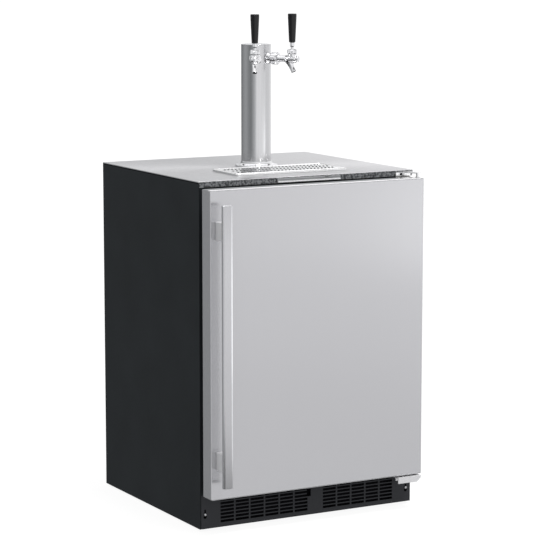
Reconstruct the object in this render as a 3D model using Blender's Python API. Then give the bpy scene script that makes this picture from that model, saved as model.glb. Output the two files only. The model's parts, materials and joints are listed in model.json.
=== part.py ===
"""Undercounter kegerator: a refrigerated keg cabinet with a two-faucet draft tower.

Metres, +Z up. Lengths are written in millimetres and multiplied by MM.
The design frame has X across the cabinet, Y = 0 on the cabinet's front plane (the door is at
negative Y) and Z = 0 on the cabinet's underside. One empty, "kegerator", moves it to the middle
of the resting footprint.
"""

import math

import bmesh
import bpy
from mathutils import Matrix, Vector

MM = 0.001
GAP = 0.3 * MM
CLEAR = 5 * MM

# ---- Cabinet ----
WIDTH = 606 * MM
DEPTH = 552 * MM
HEIGHT = 857 * MM
SHEET = 1.2 * MM
WORKTOP_THICK = 2.4 * MM
HALF = WIDTH / 2
UNDER_TOP = HEIGHT - WORKTOP_THICK - GAP

# ---- Door ----
DOOR_GAP = 12 * MM
DOOR_THICK = 43 * MM
DOOR_HALF = HALF - 1.5 * MM
DOOR_BOTTOM = 85 * MM
DOOR_TOP = HEIGHT - 16.5 * MM
DOOR_BACK = -DOOR_GAP
DOOR_FRONT = -DOOR_GAP - DOOR_THICK
PIVOT_X = HALF - 10 * MM
PIVOT_Y = DOOR_FRONT + 18 * MM

# ---- Door handle ----
HANDLE_STAND = 42 * MM
HANDLE_DEPTH = 10 * MM
HANDLE_LEFT = 15 * MM - HALF
HANDLE_WIDTH = 26 * MM
HANDLE_BOTTOM = DOOR_BOTTOM + 35 * MM
HANDLE_TOP = DOOR_TOP - 32.5 * MM
BRACKET_INSET = 63 * MM
HANDLE_FRONT = DOOR_FRONT - HANDLE_STAND

# ---- Feet: how much of each pad shows below the cabinet ----
FOOT_SHOWN = 6 * MM
FOOT_X = HALF - 41 * MM
FOOT_FRONT_Y = 46 * MM
FOOT_REAR_Y = DEPTH - 44 * MM

# ---- Insulated keg cavity, and the machine space below and behind it ----
CAVITY_HALF = HALF - 45 * MM
CAVITY_FLOOR = 118 * MM
CAVITY_CEILING = HEIGHT - 50 * MM
CAVITY_BACK = DEPTH - 52 * MM
HUMP_FRONT = 322 * MM
HUMP_TOP = CAVITY_FLOOR + 200 * MM
FOAM_BACK = DEPTH - 3.2 * MM
FOAM_FLOOR_UNDERSIDE = CAVITY_FLOOR - 30 * MM
MACHINE_FRONT = HUMP_FRONT + 30 * MM
MACHINE_TOP = HUMP_TOP - 36 * MM
LINER_THICK = 1.5 * MM
FRAME_THICK = 1.7 * MM

# ---- Drip tray, let into the worktop in front of the tower ----
TRAY_Y = 146 * MM
TRAY_HALF_X = 158.5 * MM
TRAY_HALF_Y = 68 * MM
TRAY_RIM = 8 * MM
TRAY_RISE = 6 * MM
TRAY_FLOOR = HEIGHT - 15 * MM
TRAY_WELL_X = TRAY_HALF_X - 13.5 * MM
TRAY_WELL_Y = TRAY_HALF_Y - 13.5 * MM

# ---- Draft tower ----
TOWER_Y = TRAY_Y + 125 * MM
COLUMN_R = 38.1 * MM
COLUMN_WALL = 1.5 * MM
COLUMN_TOP = HEIGHT + 308.9 * MM
FLANGE_R = 54 * MM
SHANK_Z = COLUMN_TOP - 31.9 * MM
FAUCET_ANGLES = {"left": math.radians(-120), "right": math.radians(-60)}
LEVER_R = 107 * MM
LEVER_RISE = 14 * MM
DUCT_R = 28 * MM
LINE_R = 18 * MM

# ---- Front trim, controls and hinges ----
TRIM_BOTTOM = HEIGHT - 14 * MM
TRIM_RIGHT = 250.6 * MM
BEZEL_HALF = 88.7 * MM
KEYS = {"temperature_key_down": 38 * MM, "temperature_key_up": 62 * MM}
KEY_HALF = 7 * MM
KEY_LOW = TRIM_BOTTOM + 6.7 * MM
KEY_HIGH = KEY_LOW + 3.4 * MM
PIN_R = 3.6 * MM
BUSH_BORE_R = PIN_R + GAP
BUSH_R = 5.2 * MM
BUSH_HOLE_R = BUSH_R + GAP

# ---- Kick grille ----
KICK_HALF = HALF - 2.5 * MM
KICK_TOP = DOOR_BOTTOM - GAP
SLOT_PITCH_X = 41.8 * MM
SLOT_WIDTH = 37.6 * MM
SLOT_PITCH_Z = 9 * MM
SLOT_HIGH = 6.2 * MM
SLOT_FIRST_Z = 15 * MM
SLOT_ROWS = 8
SLOT_GROUPS = ((-247 * MM, 6), (44 * MM, 5))
GRILLE_SCREW_X = HALF - 13.5 * MM
GRILLE_SCREW_Z = 36.5 * MM


# ---------------------------------------------------------------- mesh building


def clear_scene():
    for obj in list(bpy.data.objects):
        bpy.data.objects.remove(obj, do_unlink=True)


def finish(name, colour, roughness, metallic):
    made = bpy.data.materials.new(name)
    made.use_nodes = True
    shader = made.node_tree.nodes["Principled BSDF"]
    shader.inputs["Base Color"].default_value = (*colour, 1)
    shader.inputs["Roughness"].default_value = roughness
    shader.inputs["Metallic"].default_value = metallic
    made.diffuse_color = (*colour, 1)
    return made


def empty(name, location, parent=None, turn=0.0):
    made = bpy.data.objects.new(name, None)
    made.location = location
    made.rotation_euler = (0, 0, turn)
    made.parent = parent
    bpy.context.scene.collection.objects.link(made)
    return made


def bridge(bm, first, second):
    """Faces between two rings of points, or between a ring and a single point."""
    count = max(len(first), len(second))
    for i in range(count):
        j = (i + 1) % count
        if len(first) == 1:
            bm.faces.new((first[0], second[j], second[i]))
        elif len(second) == 1:
            bm.faces.new((first[i], first[j], second[0]))
        else:
            bm.faces.new((first[i], first[j], second[j], second[i]))


def mesh_of(name, bm, smooth):
    bmesh.ops.recalc_face_normals(bm, faces=bm.faces)
    mesh = bpy.data.meshes.new(name)
    bm.to_mesh(mesh)
    bm.free()
    if smooth:
        mesh.shade_smooth()
        mesh.set_sharp_from_angle(angle=math.radians(32))
    return mesh


def placed(name, mesh, paint, parent):
    made = bpy.data.objects.new(name, mesh)
    bpy.context.scene.collection.objects.link(made)
    if paint:
        mesh.materials.append(paint)
    made.parent = parent
    return made


def lofted(name, sections, paint, parent, axis="Z", smooth=False, ring=False):
    """A closed body through equal-length outlines: sections are (outline, height along axis).
    With ring, the last outline is joined to the first."""
    order = {"Z": (0, 1, 2), "Y": (0, 2, 1), "X": (2, 0, 1)}[axis]
    bm = bmesh.new()
    rings = []
    for outline, height in sections:
        points = [(u, v, height) for u, v in outline]
        rings.append([bm.verts.new([point[k] for k in order]) for point in points])
    for first, second in zip(rings, rings[1:]):
        bridge(bm, first, second)
    if ring:
        bridge(bm, rings[-1], rings[0])
    else:
        bm.faces.new(rings[0])
        bm.faces.new(rings[-1])
    return placed(name, mesh_of(name, bm, smooth), paint, parent)


def prism(name, outline, low, high, paint, parent, axis="Z"):
    return lofted(name, [(outline, low), (outline, high)], paint, parent, axis)


def rectangle(x0, x1, y0, y1):
    return [(x0, y0), (x1, y0), (x1, y1), (x0, y1)]


def box(name, low, high, paint, parent):
    outline = rectangle(low[0], high[0], low[1], high[1])
    return prism(name, outline, low[2], high[2], paint, parent)


def rounded(half_x, half_y, radius, centre=(0, 0), steps=4):
    """A rectangle's outline with round corners, anticlockwise."""
    points = []
    for quarter, (sx, sy) in enumerate(((1, 1), (-1, 1), (-1, -1), (1, -1))):
        cx = centre[0] + sx * (half_x - radius)
        cy = centre[1] + sy * (half_y - radius)
        for step in range(steps + 1):
            angle = math.pi / 2 * (quarter + step / steps)
            points.append((cx + radius * math.cos(angle), cy + radius * math.sin(angle)))
    return points


def turned(name, profile, paint, parent, steps=20, centre=(0, 0, 0), towards=(0, 0, 1)):
    """A body of revolution. profile is (radius, height) along towards, from centre. A profile that
    doesn't start and end on the axis is joined end to start, as a ring."""
    bm = bmesh.new()
    rings = []
    for radius, height in profile:
        count = 1 if radius == 0 else steps
        ring = []
        for i in range(count):
            angle = math.tau * i / steps
            ring.append(bm.verts.new((radius * math.cos(angle), radius * math.sin(angle), height)))
        rings.append(ring)
    pairs = list(zip(rings, rings[1:]))
    if profile[0][0] > 0:
        pairs.append((rings[-1], rings[0]))
    for first, second in pairs:
        bridge(bm, first, second)
    turn = Vector(towards).to_track_quat("Z", "Y").to_matrix().to_4x4()
    bm.transform(Matrix.Translation(centre) @ turn)
    return placed(name, mesh_of(name, bm, True), paint, parent)


def rod(name, radius, start, end, paint, parent, steps=16):
    along = Vector(end) - Vector(start)
    profile = [(0, 0), (radius, 0), (radius, along.length), (0, along.length)]
    return turned(name, profile, paint, parent, steps, start, along)


def tube_profile(inner, outer, low, high):
    return [(inner, low), (outer, low), (outer, high), (inner, high)]


def combine(body, operation, tools):
    for tool in tools:
        tool.hide_render = True
        tool.display_type = "WIRE"
        modifier = body.modifiers.new(tool.name, "BOOLEAN")
        modifier.operation = operation
        modifier.solver = "EXACT"
        modifier.object = tool
    return body


def cut(body, *tools):
    return combine(body, "DIFFERENCE", tools)


def fuse(body, *tools):
    return combine(body, "UNION", tools)


# ---------------------------------------------------------------- cabinet


def cavity_outline(inset, front):
    """The keg cavity seen from the side, (y, z), drawn in by inset: a box with the hump's step."""
    return [
        (front, CAVITY_FLOOR + inset),
        (HUMP_FRONT - inset, CAVITY_FLOOR + inset),
        (HUMP_FRONT - inset, HUMP_TOP + inset),
        (CAVITY_BACK - inset, HUMP_TOP + inset),
        (CAVITY_BACK - inset, CAVITY_CEILING - inset),
        (front, CAVITY_CEILING - inset),
    ]


def cavity_solid(name, inset, front, paint, root):
    half = CAVITY_HALF - inset
    return prism(name, cavity_outline(inset, front), -half, half, paint, root, "X")


def duct_cutter(name, root):
    low = (0, TOWER_Y, CAVITY_CEILING - CLEAR)
    return rod(name, DUCT_R, low, (0, TOWER_Y, HEIGHT + CLEAR), None, root)


def insulated_box(paints, root):
    outline = [
        (FRAME_THICK + GAP, FOAM_FLOOR_UNDERSIDE),
        (MACHINE_FRONT, FOAM_FLOOR_UNDERSIDE),
        (MACHINE_FRONT, MACHINE_TOP),
        (FOAM_BACK, MACHINE_TOP),
        (FOAM_BACK, UNDER_TOP - GAP),
        (FRAME_THICK + GAP, UNDER_TOP - GAP),
    ]
    half = HALF - SHEET - GAP
    foam = prism("foam_insulation", outline, -half, half, paints["foam"], root, "X")
    recess = 3 * MM
    tray_recess = box(
        "tray_recess_cutter",
        (-HALF, TRAY_Y - TRAY_WELL_Y - recess, TRAY_FLOOR - recess),
        (HALF, TRAY_Y + TRAY_WELL_Y + recess, HEIGHT + CLEAR),
        None,
        root,
    )
    cavity = cavity_solid("cavity_cutter", 0, -CLEAR, None, root)
    cut(foam, cavity, duct_cutter("foam_duct_cutter", root), tray_recess)

    liner = cavity_solid("inner_liner", GAP, 0, paints["liner"], root)
    inside = cavity_solid("liner_inside_cutter", GAP + LINER_THICK, -CLEAR, None, root)
    cut(liner, inside, duct_cutter("liner_duct_cutter", root))

    frame = box(
        "front_frame",
        (-DOOR_HALF, 0, DOOR_BOTTOM + GAP),
        (DOOR_HALF, FRAME_THICK, TRIM_BOTTOM - GAP),
        paints["black"],
        root,
    )
    cut(frame, cavity)


def casing(paints, root):
    flange = 18 * MM
    back = DEPTH - 2 * SHEET + 0.7 * MM
    for side, sign in (("left", -1), ("right", 1)):
        outline = [
            (sign * HALF, 0),
            (sign * HALF, back),
            (sign * (HALF - flange), back),
            (sign * (HALF - flange), back - SHEET),
            (sign * (HALF - SHEET), back - SHEET),
            (sign * (HALF - SHEET), 0),
        ]
        prism(f"side_panel_{side}", outline, 0, UNDER_TOP, paints["black"], root)

    panel = box(
        "back_panel",
        (-DOOR_HALF, back + GAP, 3 * MM),
        (DOOR_HALF, DEPTH, UNDER_TOP),
        paints["black"],
        root,
    )
    vents = []
    for column, x in enumerate((-250 * MM, -110 * MM, 30 * MM)):
        for row in range(8):
            z = (110 + 18 * row) * MM
            low = (x, back - CLEAR, z)
            high = (x + 120 * MM, DEPTH + CLEAR, z + 7 * MM)
            vents.append(box(f"vent_cutter_{column}_{row}", low, high, None, root))
    inlet_hole = box(
        "inlet_hole_cutter",
        (247 * MM, back - CLEAR, 40 * MM),
        (281 * MM, DEPTH + CLEAR, 66 * MM),
        None,
        root,
    )
    cut(panel, inlet_hole, *vents)


def base_pan(paints, root):
    half_x = HALF - SHEET - 0.5 * MM
    front = 14 * MM
    centre = (0, (front + FOAM_BACK) / 2)
    half_y = (FOAM_BACK - front) / 2
    outer = rounded(half_x, half_y, 4 * MM, centre, 1)
    inner = rounded(half_x - SHEET, half_y - SHEET, 3 * MM, centre, 1)
    low = 1.5 * MM
    lip = 18 * MM
    sections = [(outer, low), (outer, lip), (inner, lip), (inner, low + SHEET)]
    pan = lofted("base_pan", sections, paints["galvanised"], root)
    holes = []
    for number, (x, y) in enumerate(foot_places()):
        start = (x, y, -CLEAR)
        holes.append(rod(f"foot_hole_{number}", 5.4 * MM, start, (x, y, 4 * CLEAR), None, root, 12))
    cut(pan, *holes)


def worktop(paints, root):
    edge = 0.8 * MM
    low = HEIGHT - WORKTOP_THICK
    middle = (0, DEPTH / 2)
    full = rounded(HALF, DEPTH / 2, 2.5 * MM, middle, 2)
    inset = rounded(HALF - edge, DEPTH / 2 - edge, 2 * MM, middle, 2)
    sections = [(full, low), (full, HEIGHT - edge), (inset, HEIGHT)]
    top = lofted("worktop", sections, paints["steel"], root)
    well = box(
        "worktop_well_cutter",
        (-TRAY_WELL_X - GAP, TRAY_Y - TRAY_WELL_Y - GAP, low - CLEAR),
        (TRAY_WELL_X + GAP, TRAY_Y + TRAY_WELL_Y + GAP, HEIGHT + CLEAR),
        None,
        root,
    )
    cut(top, well, duct_cutter("worktop_duct_cutter", root))


def kick_grille(paints, root):
    wall = 2 * MM
    deep = 12 * MM
    low = 0.5 * MM
    middle = (0, (low + KICK_TOP) / 2)
    half_z = (KICK_TOP - low) / 2
    outer = rounded(KICK_HALF, half_z, 1 * MM, middle, 1)
    inner = rounded(KICK_HALF - wall, half_z - wall, 0.5 * MM, middle, 1)
    sections = [(outer, 0), (outer, deep), (inner, deep), (inner, wall)]
    grille = lofted("kick_grille", sections, paints["trim"], root, "Y")
    cutters = []
    for left, columns in SLOT_GROUPS:
        for column in range(columns):
            x = left + column * SLOT_PITCH_X
            for row in range(SLOT_ROWS):
                z = SLOT_FIRST_Z + row * SLOT_PITCH_Z
                low_corner = (x, -CLEAR, z - SLOT_HIGH / 2)
                high_corner = (x + SLOT_WIDTH, wall + 2 * MM, z + SLOT_HIGH / 2)
                name = f"slot_{left / MM:.0f}_{column}_{row}"
                cutters.append(box(name, low_corner, high_corner, None, root))
    notch_low, notch_high = (-3 * MM, -CLEAR, 48 * MM), (9 * MM, CLEAR, 67 * MM)
    cutters.append(box("latch_notch", notch_low, notch_high, None, root))
    for side, sign in (("left", -1), ("right", 1)):
        x = sign * GRILLE_SCREW_X
        eye_z = GRILLE_SCREW_Z - 6 * MM
        slot = 2.2 * MM
        eye_low, eye_high = (x, -CLEAR, eye_z), (x, CLEAR, eye_z)
        cutters.append(rod(f"keyhole_{side}", 4.6 * MM, eye_low, eye_high, None, root))
        slot_low, slot_high = (x - slot, -CLEAR, eye_z), (x + slot, CLEAR, 49 * MM)
        cutters.append(box(f"key_slot_{side}", slot_low, slot_high, None, root))
        head, shank = 3.3 * MM, 1.7 * MM
        profile = [(0, -9 * MM), (shank, -9 * MM), (shank, GAP), (head, GAP), (head, 1.1 * MM)]
        profile += [(0.7 * head, 1.9 * MM), (0, 2.1 * MM)]
        centre = (x, 0, GRILLE_SCREW_Z)
        name = f"grille_screw_{side}"
        turned(name, profile, paints["zinc"], root, 12, centre, (0, -1, 0))
    cut(grille, *cutters)


def front_controls(paints, root):
    box(
        "front_trim",
        (-DOOR_HALF, 0, TRIM_BOTTOM),
        (TRIM_RIGHT, FRAME_THICK, UNDER_TOP),
        paints["trim"],
        root,
    )
    face = -2.6 * MM
    low = TRIM_BOTTOM + 0.6 * MM
    outline = [
        (-GAP, low),
        (-4.0 * MM, low),
        (-5.2 * MM, low + 1.2 * MM),
        (-5.2 * MM, low + 3.4 * MM),
        (-4.2 * MM, low + 4.7 * MM),
        (face, low + 5.3 * MM),
        (face, low + 9.9 * MM),
        (-1.8 * MM, UNDER_TOP),
        (-GAP, UNDER_TOP),
    ]
    bezel = prism("control_bezel", outline, -BEZEL_HALF, BEZEL_HALF, paints["bezel"], root, "X")
    key_gap = 0.35 * MM
    pockets = []
    for name, x in KEYS.items():
        low = (x - KEY_HALF - key_gap, -2 * CLEAR, KEY_LOW - key_gap)
        high = (x + KEY_HALF + key_gap, CLEAR, KEY_HIGH + key_gap)
        pockets.append(box(f"{name}_pocket", low, high, None, root))
        middle_z = (KEY_LOW + KEY_HIGH) / 2
        half_z = (KEY_HIGH - KEY_LOW) / 2
        full = rounded(KEY_HALF, half_z, 0.8 * MM, (0, 0), 2)
        worn = rounded(KEY_HALF - 0.4 * MM, half_z - 0.4 * MM, 0.5 * MM, (0, 0), 2)
        front = face - 0.5 * MM
        origin = empty(f"{name}_origin", (x, front, middle_z), root)
        sections = [(worn, 0), (full, 0.4 * MM), (full, 2.1 * MM)]
        lofted(name, sections, paints["bezel"], origin, "Y")
    cut(bezel, *pockets)


def hinges(paints, root):
    plate = 2.5 * MM
    leaf_low = UNDER_TOP - plate
    inner_x, outer_x = TRIM_RIGHT + 0.4 * MM, HALF - 1 * MM
    arm_r = 9 * MM
    arm = [(inner_x, -GAP), (inner_x, -4 * MM)]
    for step in range(7):
        angle = math.radians(212 + step * 148 / 6)
        arm.append((PIVOT_X + arm_r * math.cos(angle), PIVOT_Y + arm_r * math.sin(angle)))
    arm.append((outer_x, -GAP))
    top = prism("top_hinge_bracket", arm, leaf_low, UNDER_TOP, paints["bright"], root)
    upright = box(
        "top_hinge_upright",
        (inner_x, -GAP - plate, DOOR_TOP - 6 * MM),
        (outer_x, -GAP, UNDER_TOP - 1 * MM),
        None,
        root,
    )
    pin_low = (PIVOT_X, PIVOT_Y, DOOR_TOP - 12 * MM)
    pin = rod("top_hinge_pin", PIN_R, pin_low, (PIVOT_X, PIVOT_Y, leaf_low + 1 * MM), None, root)
    fuse(top, upright, pin)
    screw = Vector((inner_x + 15 * MM, 0, TRIM_BOTTOM + 4.6 * MM))
    through = Vector((0, CLEAR, 0))
    hole = rod("top_hinge_screw_hole", 2.3 * MM, screw - through, screw + through, None, root, 12)
    cut(top, hole)
    seat = GAP + plate + GAP
    head = 3.2 * MM
    profile = [(0, GAP), (1.8 * MM, GAP), (1.8 * MM, seat), (head, seat), (head, seat + 0.8 * MM)]
    profile += [(0.75 * head, seat + 1.7 * MM), (1.4 * MM, seat + 1.8 * MM)]
    profile += [(1.4 * MM, seat + 0.6 * MM), (0, seat + 0.6 * MM)]
    turned("top_hinge_screw", profile, paints["black"], root, 12, screw, (0, -1, 0))

    right = HALF - 5 * MM
    left = right - 67.5 * MM
    front = DOOR_FRONT - 4.5 * MM
    leaf_high = DOOR_BOTTOM - 4 * MM
    lip_low = leaf_high - 16 * MM
    bottom = box(
        "bottom_hinge_bracket",
        (left, front, leaf_high - 3 * MM),
        (right, -GAP, leaf_high),
        paints["bright"],
        root,
    )
    lip_outline = [
        (left, leaf_high),
        (left, lip_low),
        (right - 12 * MM, lip_low),
        (right, lip_low + 10 * MM),
        (right, leaf_high),
    ]
    lip = prism("bottom_hinge_lip", lip_outline, front, front + 3 * MM, None, root, "Y")
    back_flange = box(
        "bottom_hinge_flange",
        (258 * MM, -GAP - plate, 58 * MM),
        (right, -GAP, leaf_high - 1 * MM),
        None,
        root,
    )
    pin_low = (PIVOT_X, PIVOT_Y, leaf_high - 1 * MM)
    pin_high = (PIVOT_X, PIVOT_Y, DOOR_BOTTOM + 12 * MM)
    pin = rod("bottom_hinge_pin", PIN_R, pin_low, pin_high, None, root)
    fuse(bottom, lip, back_flange, pin)


# ---------------------------------------------------------------- machine space


def fan(name, centre, radius, hub, deep, blades, paint, parent):
    """An axial fan on an axle along Y: a hub ring and pitched blades."""
    origin = empty(f"{name}_axle", centre, parent)
    axle_hole = 3.1 * MM
    profile = tube_profile(axle_hole, hub, 0, deep)
    wheel = turned(name, profile, paint, origin, 20, towards=(0, 1, 0))
    thick = 1.8 * MM
    pitch = math.radians(30)
    tools = []
    for number in range(blades):
        half = 0.22 * radius
        low = (-half, -thick / 2, hub - 2 * MM)
        blade = box(f"{name}_blade_{number}", low, (half, thick / 2, radius), None, origin)
        twist = Matrix.Rotation(pitch, 4, "Z")
        around = Matrix.Rotation(math.tau * number / blades, 4, "Y")
        blade.data.transform(Matrix.Translation((0, deep / 2, 0)) @ around @ twist)
        tools.append(blade)
    return fuse(wheel, *tools)


def fan_mount(name, centre, front, bar, reach, hub, motor, root):
    """Crossed bars, a motor and its axle. centre is (x, z), and the fan is on the +Y side."""
    x, z = centre
    half = 4 * MM
    inset = 0.01 * MM
    back = front + bar
    low = (x - reach, front, z - half)
    across = box(f"{name}_across", low, (x + reach, back, z + half), None, root)
    low = (x - half, front + inset, z - reach)
    upright = box(f"{name}_upright", low, (x + half, back - inset, z + reach), None, root)
    body = rod(f"{name}_motor", hub, (x, front - motor, z), (x, back - 2 * inset, z), None, root)
    axle = rod(f"{name}_axle", 2.7 * MM, (x, front, z), (x, back + 16 * MM, z), None, root, 12)
    return across, upright, body, axle


def machine_space(paints, root):
    x, y = -150 * MM, 448 * MM
    foot = 3.2 * MM
    profile = [
        (0, 30 * MM),
        (46 * MM, 32 * MM),
        (70 * MM, 50 * MM),
        (75 * MM, 72 * MM),
        (77 * MM, 116 * MM),
        (80 * MM, 118 * MM),
        (80 * MM, 124 * MM),
        (75 * MM, 127 * MM),
        (72 * MM, 165 * MM),
        (52 * MM, 192 * MM),
        (0, 202 * MM),
    ]
    compressor = turned("compressor", profile, paints["black"], root, 24, (x, y, 0))
    base = box(
        "compressor_base",
        (x - 92 * MM, y - 60 * MM, 22 * MM),
        (x + 92 * MM, y + 60 * MM, 36 * MM),
        None,
        root,
    )
    legs = []
    for number, (dx, dy) in enumerate(((-78, -46), (78, -46), (-78, 46), (78, 46))):
        low = (x + dx * MM, y + dy * MM, foot)
        high = (x + dx * MM, y + dy * MM, 30 * MM)
        legs.append(rod(f"compressor_leg_{number}", 9 * MM, low, high, None, root, 12))
    fuse(compressor, base, *legs)

    # The condenser is a comb of upright fins on a tube plate, air passing along Y.
    fins = 22
    left, right = 20 * MM, 220 * MM
    front, back = 372 * MM, 412 * MM
    pitch = (right - left) / fins
    comb = [(left, back), (left, front)]
    for number in range(fins - 1):
        edge = left + (number + 1) * pitch
        comb += [(edge - 0.55 * pitch, front), (edge - 0.55 * pitch, back - 6 * MM)]
        comb += [(edge, back - 6 * MM), (edge, front)]
    comb += [(right, front), (right, back)]
    prism("condenser_coil", comb, foot, 200 * MM, paints["fins"], root)

    fan_x, fan_z = 120 * MM, 108 * MM
    plate_front = 418 * MM
    bracket = box(
        "condenser_fan_bracket",
        (left, plate_front, foot),
        (right, plate_front + 3 * MM, 205 * MM),
        paints["galvanised"],
        root,
    )
    hole_low = (fan_x, plate_front - CLEAR, fan_z)
    hole_high = (fan_x, plate_front + CLEAR, fan_z)
    cut(bracket, rod("condenser_fan_hole", 84 * MM, hole_low, hole_high, None, root, 32))
    front = plate_front + 0.5 * MM
    motor = 3 * MM
    fuse(
        bracket,
        *fan_mount("condenser_mount", (fan_x, fan_z), front, 2 * MM, 88 * MM, 20 * MM, motor, root),
    )
    centre = (fan_x, plate_front + 6 * MM, fan_z)
    fan("condenser_fan", centre, 76 * MM, 20 * MM, 14 * MM, 5, paints["trim"], root)

    low, high = (249 * MM, 524 * MM, 42 * MM), (279 * MM, DEPTH, 64 * MM)
    inlet = box("power_inlet", low, high, paints["black"], root)
    low, high = (252 * MM, 536 * MM, 45 * MM), (276 * MM, DEPTH + CLEAR, 61 * MM)
    socket = box("power_inlet_socket", low, high, None, root)
    cut(inlet, socket)


def evaporator(paints, root):
    front = 440 * MM
    back = CAVITY_BACK - 2 * GAP - LINER_THICK
    half_x, low, high = 160 * MM, 400 * MM, 770 * MM
    middle = (0, (low + high) / 2)
    half_z = (high - low) / 2
    wall = 2 * MM
    shoulder = front + 4 * MM
    soft = rounded(half_x - 4 * MM, half_z - 4 * MM, 8 * MM, middle, 2)
    deep = rounded(half_x - 8 * MM, half_z - 8 * MM, 6 * MM, middle, 2)
    outer = rounded(half_x, half_z, 12 * MM, middle, 2)
    inner = rounded(half_x - wall, half_z - wall, 10 * MM, middle, 2)
    sections = [(soft, front), (outer, shoulder), (outer, back)]
    sections += [(inner, back), (inner, shoulder), (deep, front + wall)]
    cover = lofted("evaporator_cover", sections, paints["liner"], root, "Y")
    fan_z = 655 * MM
    hole_low, hole_high = (0, front - CLEAR, fan_z), (0, front + CLEAR, fan_z)
    cutters = [rod("evaporator_fan_hole", 56 * MM, hole_low, hole_high, None, root, 32)]
    for row in range(6):
        z = (430 + 22 * row) * MM
        low = (-110 * MM, front - CLEAR, z)
        high = (110 * MM, front + CLEAR, z + 9 * MM)
        cutters.append(box(f"evaporator_slot_{row}", low, high, None, root))
    cut(cover, *cutters)
    bars = front + 0.2 * MM
    motor = 0.1 * MM
    fuse(
        cover,
        *fan_mount("evaporator_mount", (0, fan_z), bars, 1.6 * MM, 60 * MM, 15 * MM, motor, root),
    )
    centre = (0, front + 5 * MM, fan_z)
    fan("evaporator_fan", centre, 50 * MM, 14 * MM, 12 * MM, 5, paints["trim"], root)


def foot_places():
    return [(x, y) for y in (FOOT_FRONT_Y, FOOT_REAR_Y) for x in (-FOOT_X, FOOT_X)]


def feet(paints, root):
    names = ("front_left", "front_right", "rear_left", "rear_right")
    pad = 18 * MM
    stud = 4.8 * MM
    for name, (x, y) in zip(names, foot_places()):
        origin = empty(f"foot_{name}_axis", (x, y, 0), root)
        profile = [
            (0, -FOOT_SHOWN),
            (pad - 1 * MM, -FOOT_SHOWN),
            (pad, -FOOT_SHOWN + 1 * MM),
            (pad, -1.5 * MM),
            (pad - 4 * MM, -0.6 * MM),
            (stud, -0.6 * MM),
            (stud, 38 * MM),
            (0, 38 * MM),
        ]
        turned(f"foot_{name}", profile, paints["rubber"], origin, 16)


# ---------------------------------------------------------------- drip tray


def drip_tray(paints, root):
    middle = (0, TRAY_Y)
    foot = HEIGHT + GAP
    top = foot + TRAY_RISE
    ledge = top - 3.4 * MM
    bead = 1.2 * MM
    wall = 1 * MM

    def ring(inset, radius):
        return rounded(TRAY_HALF_X - inset, TRAY_HALF_Y - inset, radius, middle, 3)

    well_outer = rounded(TRAY_WELL_X, TRAY_WELL_Y, 6 * MM, middle, 3)
    well_inner = rounded(TRAY_WELL_X - wall, TRAY_WELL_Y - wall, 5 * MM, middle, 3)
    sections = [
        (well_outer, TRAY_FLOOR),
        (well_outer, foot),
        (ring(0, 12 * MM), foot),
        (ring(0, 12 * MM), top - bead),
        (ring(bead, 11 * MM), top),
        (ring(TRAY_RIM - bead, 5.5 * MM), top),
        (ring(TRAY_RIM, 5 * MM), top - bead),
        (ring(TRAY_RIM, 5 * MM), ledge),
        (well_inner, ledge - 0.8 * MM),
        (well_inner, TRAY_FLOOR + wall),
    ]
    lofted("drip_tray", sections, paints["steel"], root)

    lift = empty("drip_grille_lift", (0, TRAY_Y, ledge + GAP), root)
    inset = TRAY_RIM + 0.6 * MM
    outline = rounded(TRAY_HALF_X - inset, TRAY_HALF_Y - inset, 4.5 * MM, (0, 0), 3)
    grille = prism("drip_grille", outline, 0, 1.6 * MM, paints["steel"], lift)
    slots = []
    for side in (-1, 1):
        for row in range(9):
            y = (row - 4) * 12 * MM
            low = (min(side * 8, side * 140) * MM, y - 2.5 * MM, -CLEAR)
            high = (max(side * 8, side * 140) * MM, y + 2.5 * MM, CLEAR)
            slots.append(box(f"drip_slot_{side + 1}_{row}", low, high, None, lift))
    cut(grille, *slots)


# ---------------------------------------------------------------- draft tower


def tower(paints, root, frames):
    axis = (0, TOWER_Y, 0)
    low = HEIGHT + GAP
    seat = low + 3.4 * MM
    flange = [
        (33 * MM, low),
        (FLANGE_R, low),
        (FLANGE_R, low + 3.2 * MM),
        (FLANGE_R - 1.4 * MM, low + 4.8 * MM),
        (46 * MM, low + 5.8 * MM),
        (42 * MM, low + 7.8 * MM),
        (39.8 * MM, low + 11 * MM),
        (39.2 * MM, low + 14 * MM),
        (COLUMN_R + GAP, low + 14 * MM),
        (COLUMN_R + GAP, seat),
        (33 * MM, seat),
    ]
    turned("tower_flange", flange, paints["chrome"], root, 32, axis)

    inner = COLUMN_R - COLUMN_WALL
    profile = tube_profile(inner, COLUMN_R, seat + GAP, COLUMN_TOP)
    column = turned("tower_column", profile, paints["steel"], root, 32, axis)
    profile = [(25 * MM, low), (32.6 * MM, low), (32.6 * MM, seat + GAP), (inner - GAP, seat + GAP)]
    profile += [(inner - GAP, COLUMN_TOP - 16 * MM), (25 * MM, COLUMN_TOP - 16 * MM)]
    insulation = turned("tower_insulation", profile, paints["foam"], root, 20, axis)
    for side, frame in frames.items():
        start, end = (20 * MM, 0, 0), (60 * MM, 0, 0)
        cut(column, rod(f"column_hole_{side}", 8.6 * MM, start, end, None, frame))
        cut(insulation, rod(f"insulation_hole_{side}", 9 * MM, start, end, None, frame))

    lid = COLUMN_TOP + GAP
    cap = [
        (0, COLUMN_TOP - 9 * MM),
        (inner - GAP, COLUMN_TOP - 9 * MM),
        (inner - GAP, lid),
        (COLUMN_R, lid),
        (COLUMN_R, lid + 1.6 * MM),
        (COLUMN_R - 1 * MM, lid + 2.5 * MM),
        (0, lid + 2.7 * MM),
    ]
    turned("tower_cap", cap, paints["chrome"], root, 32, axis)


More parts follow.
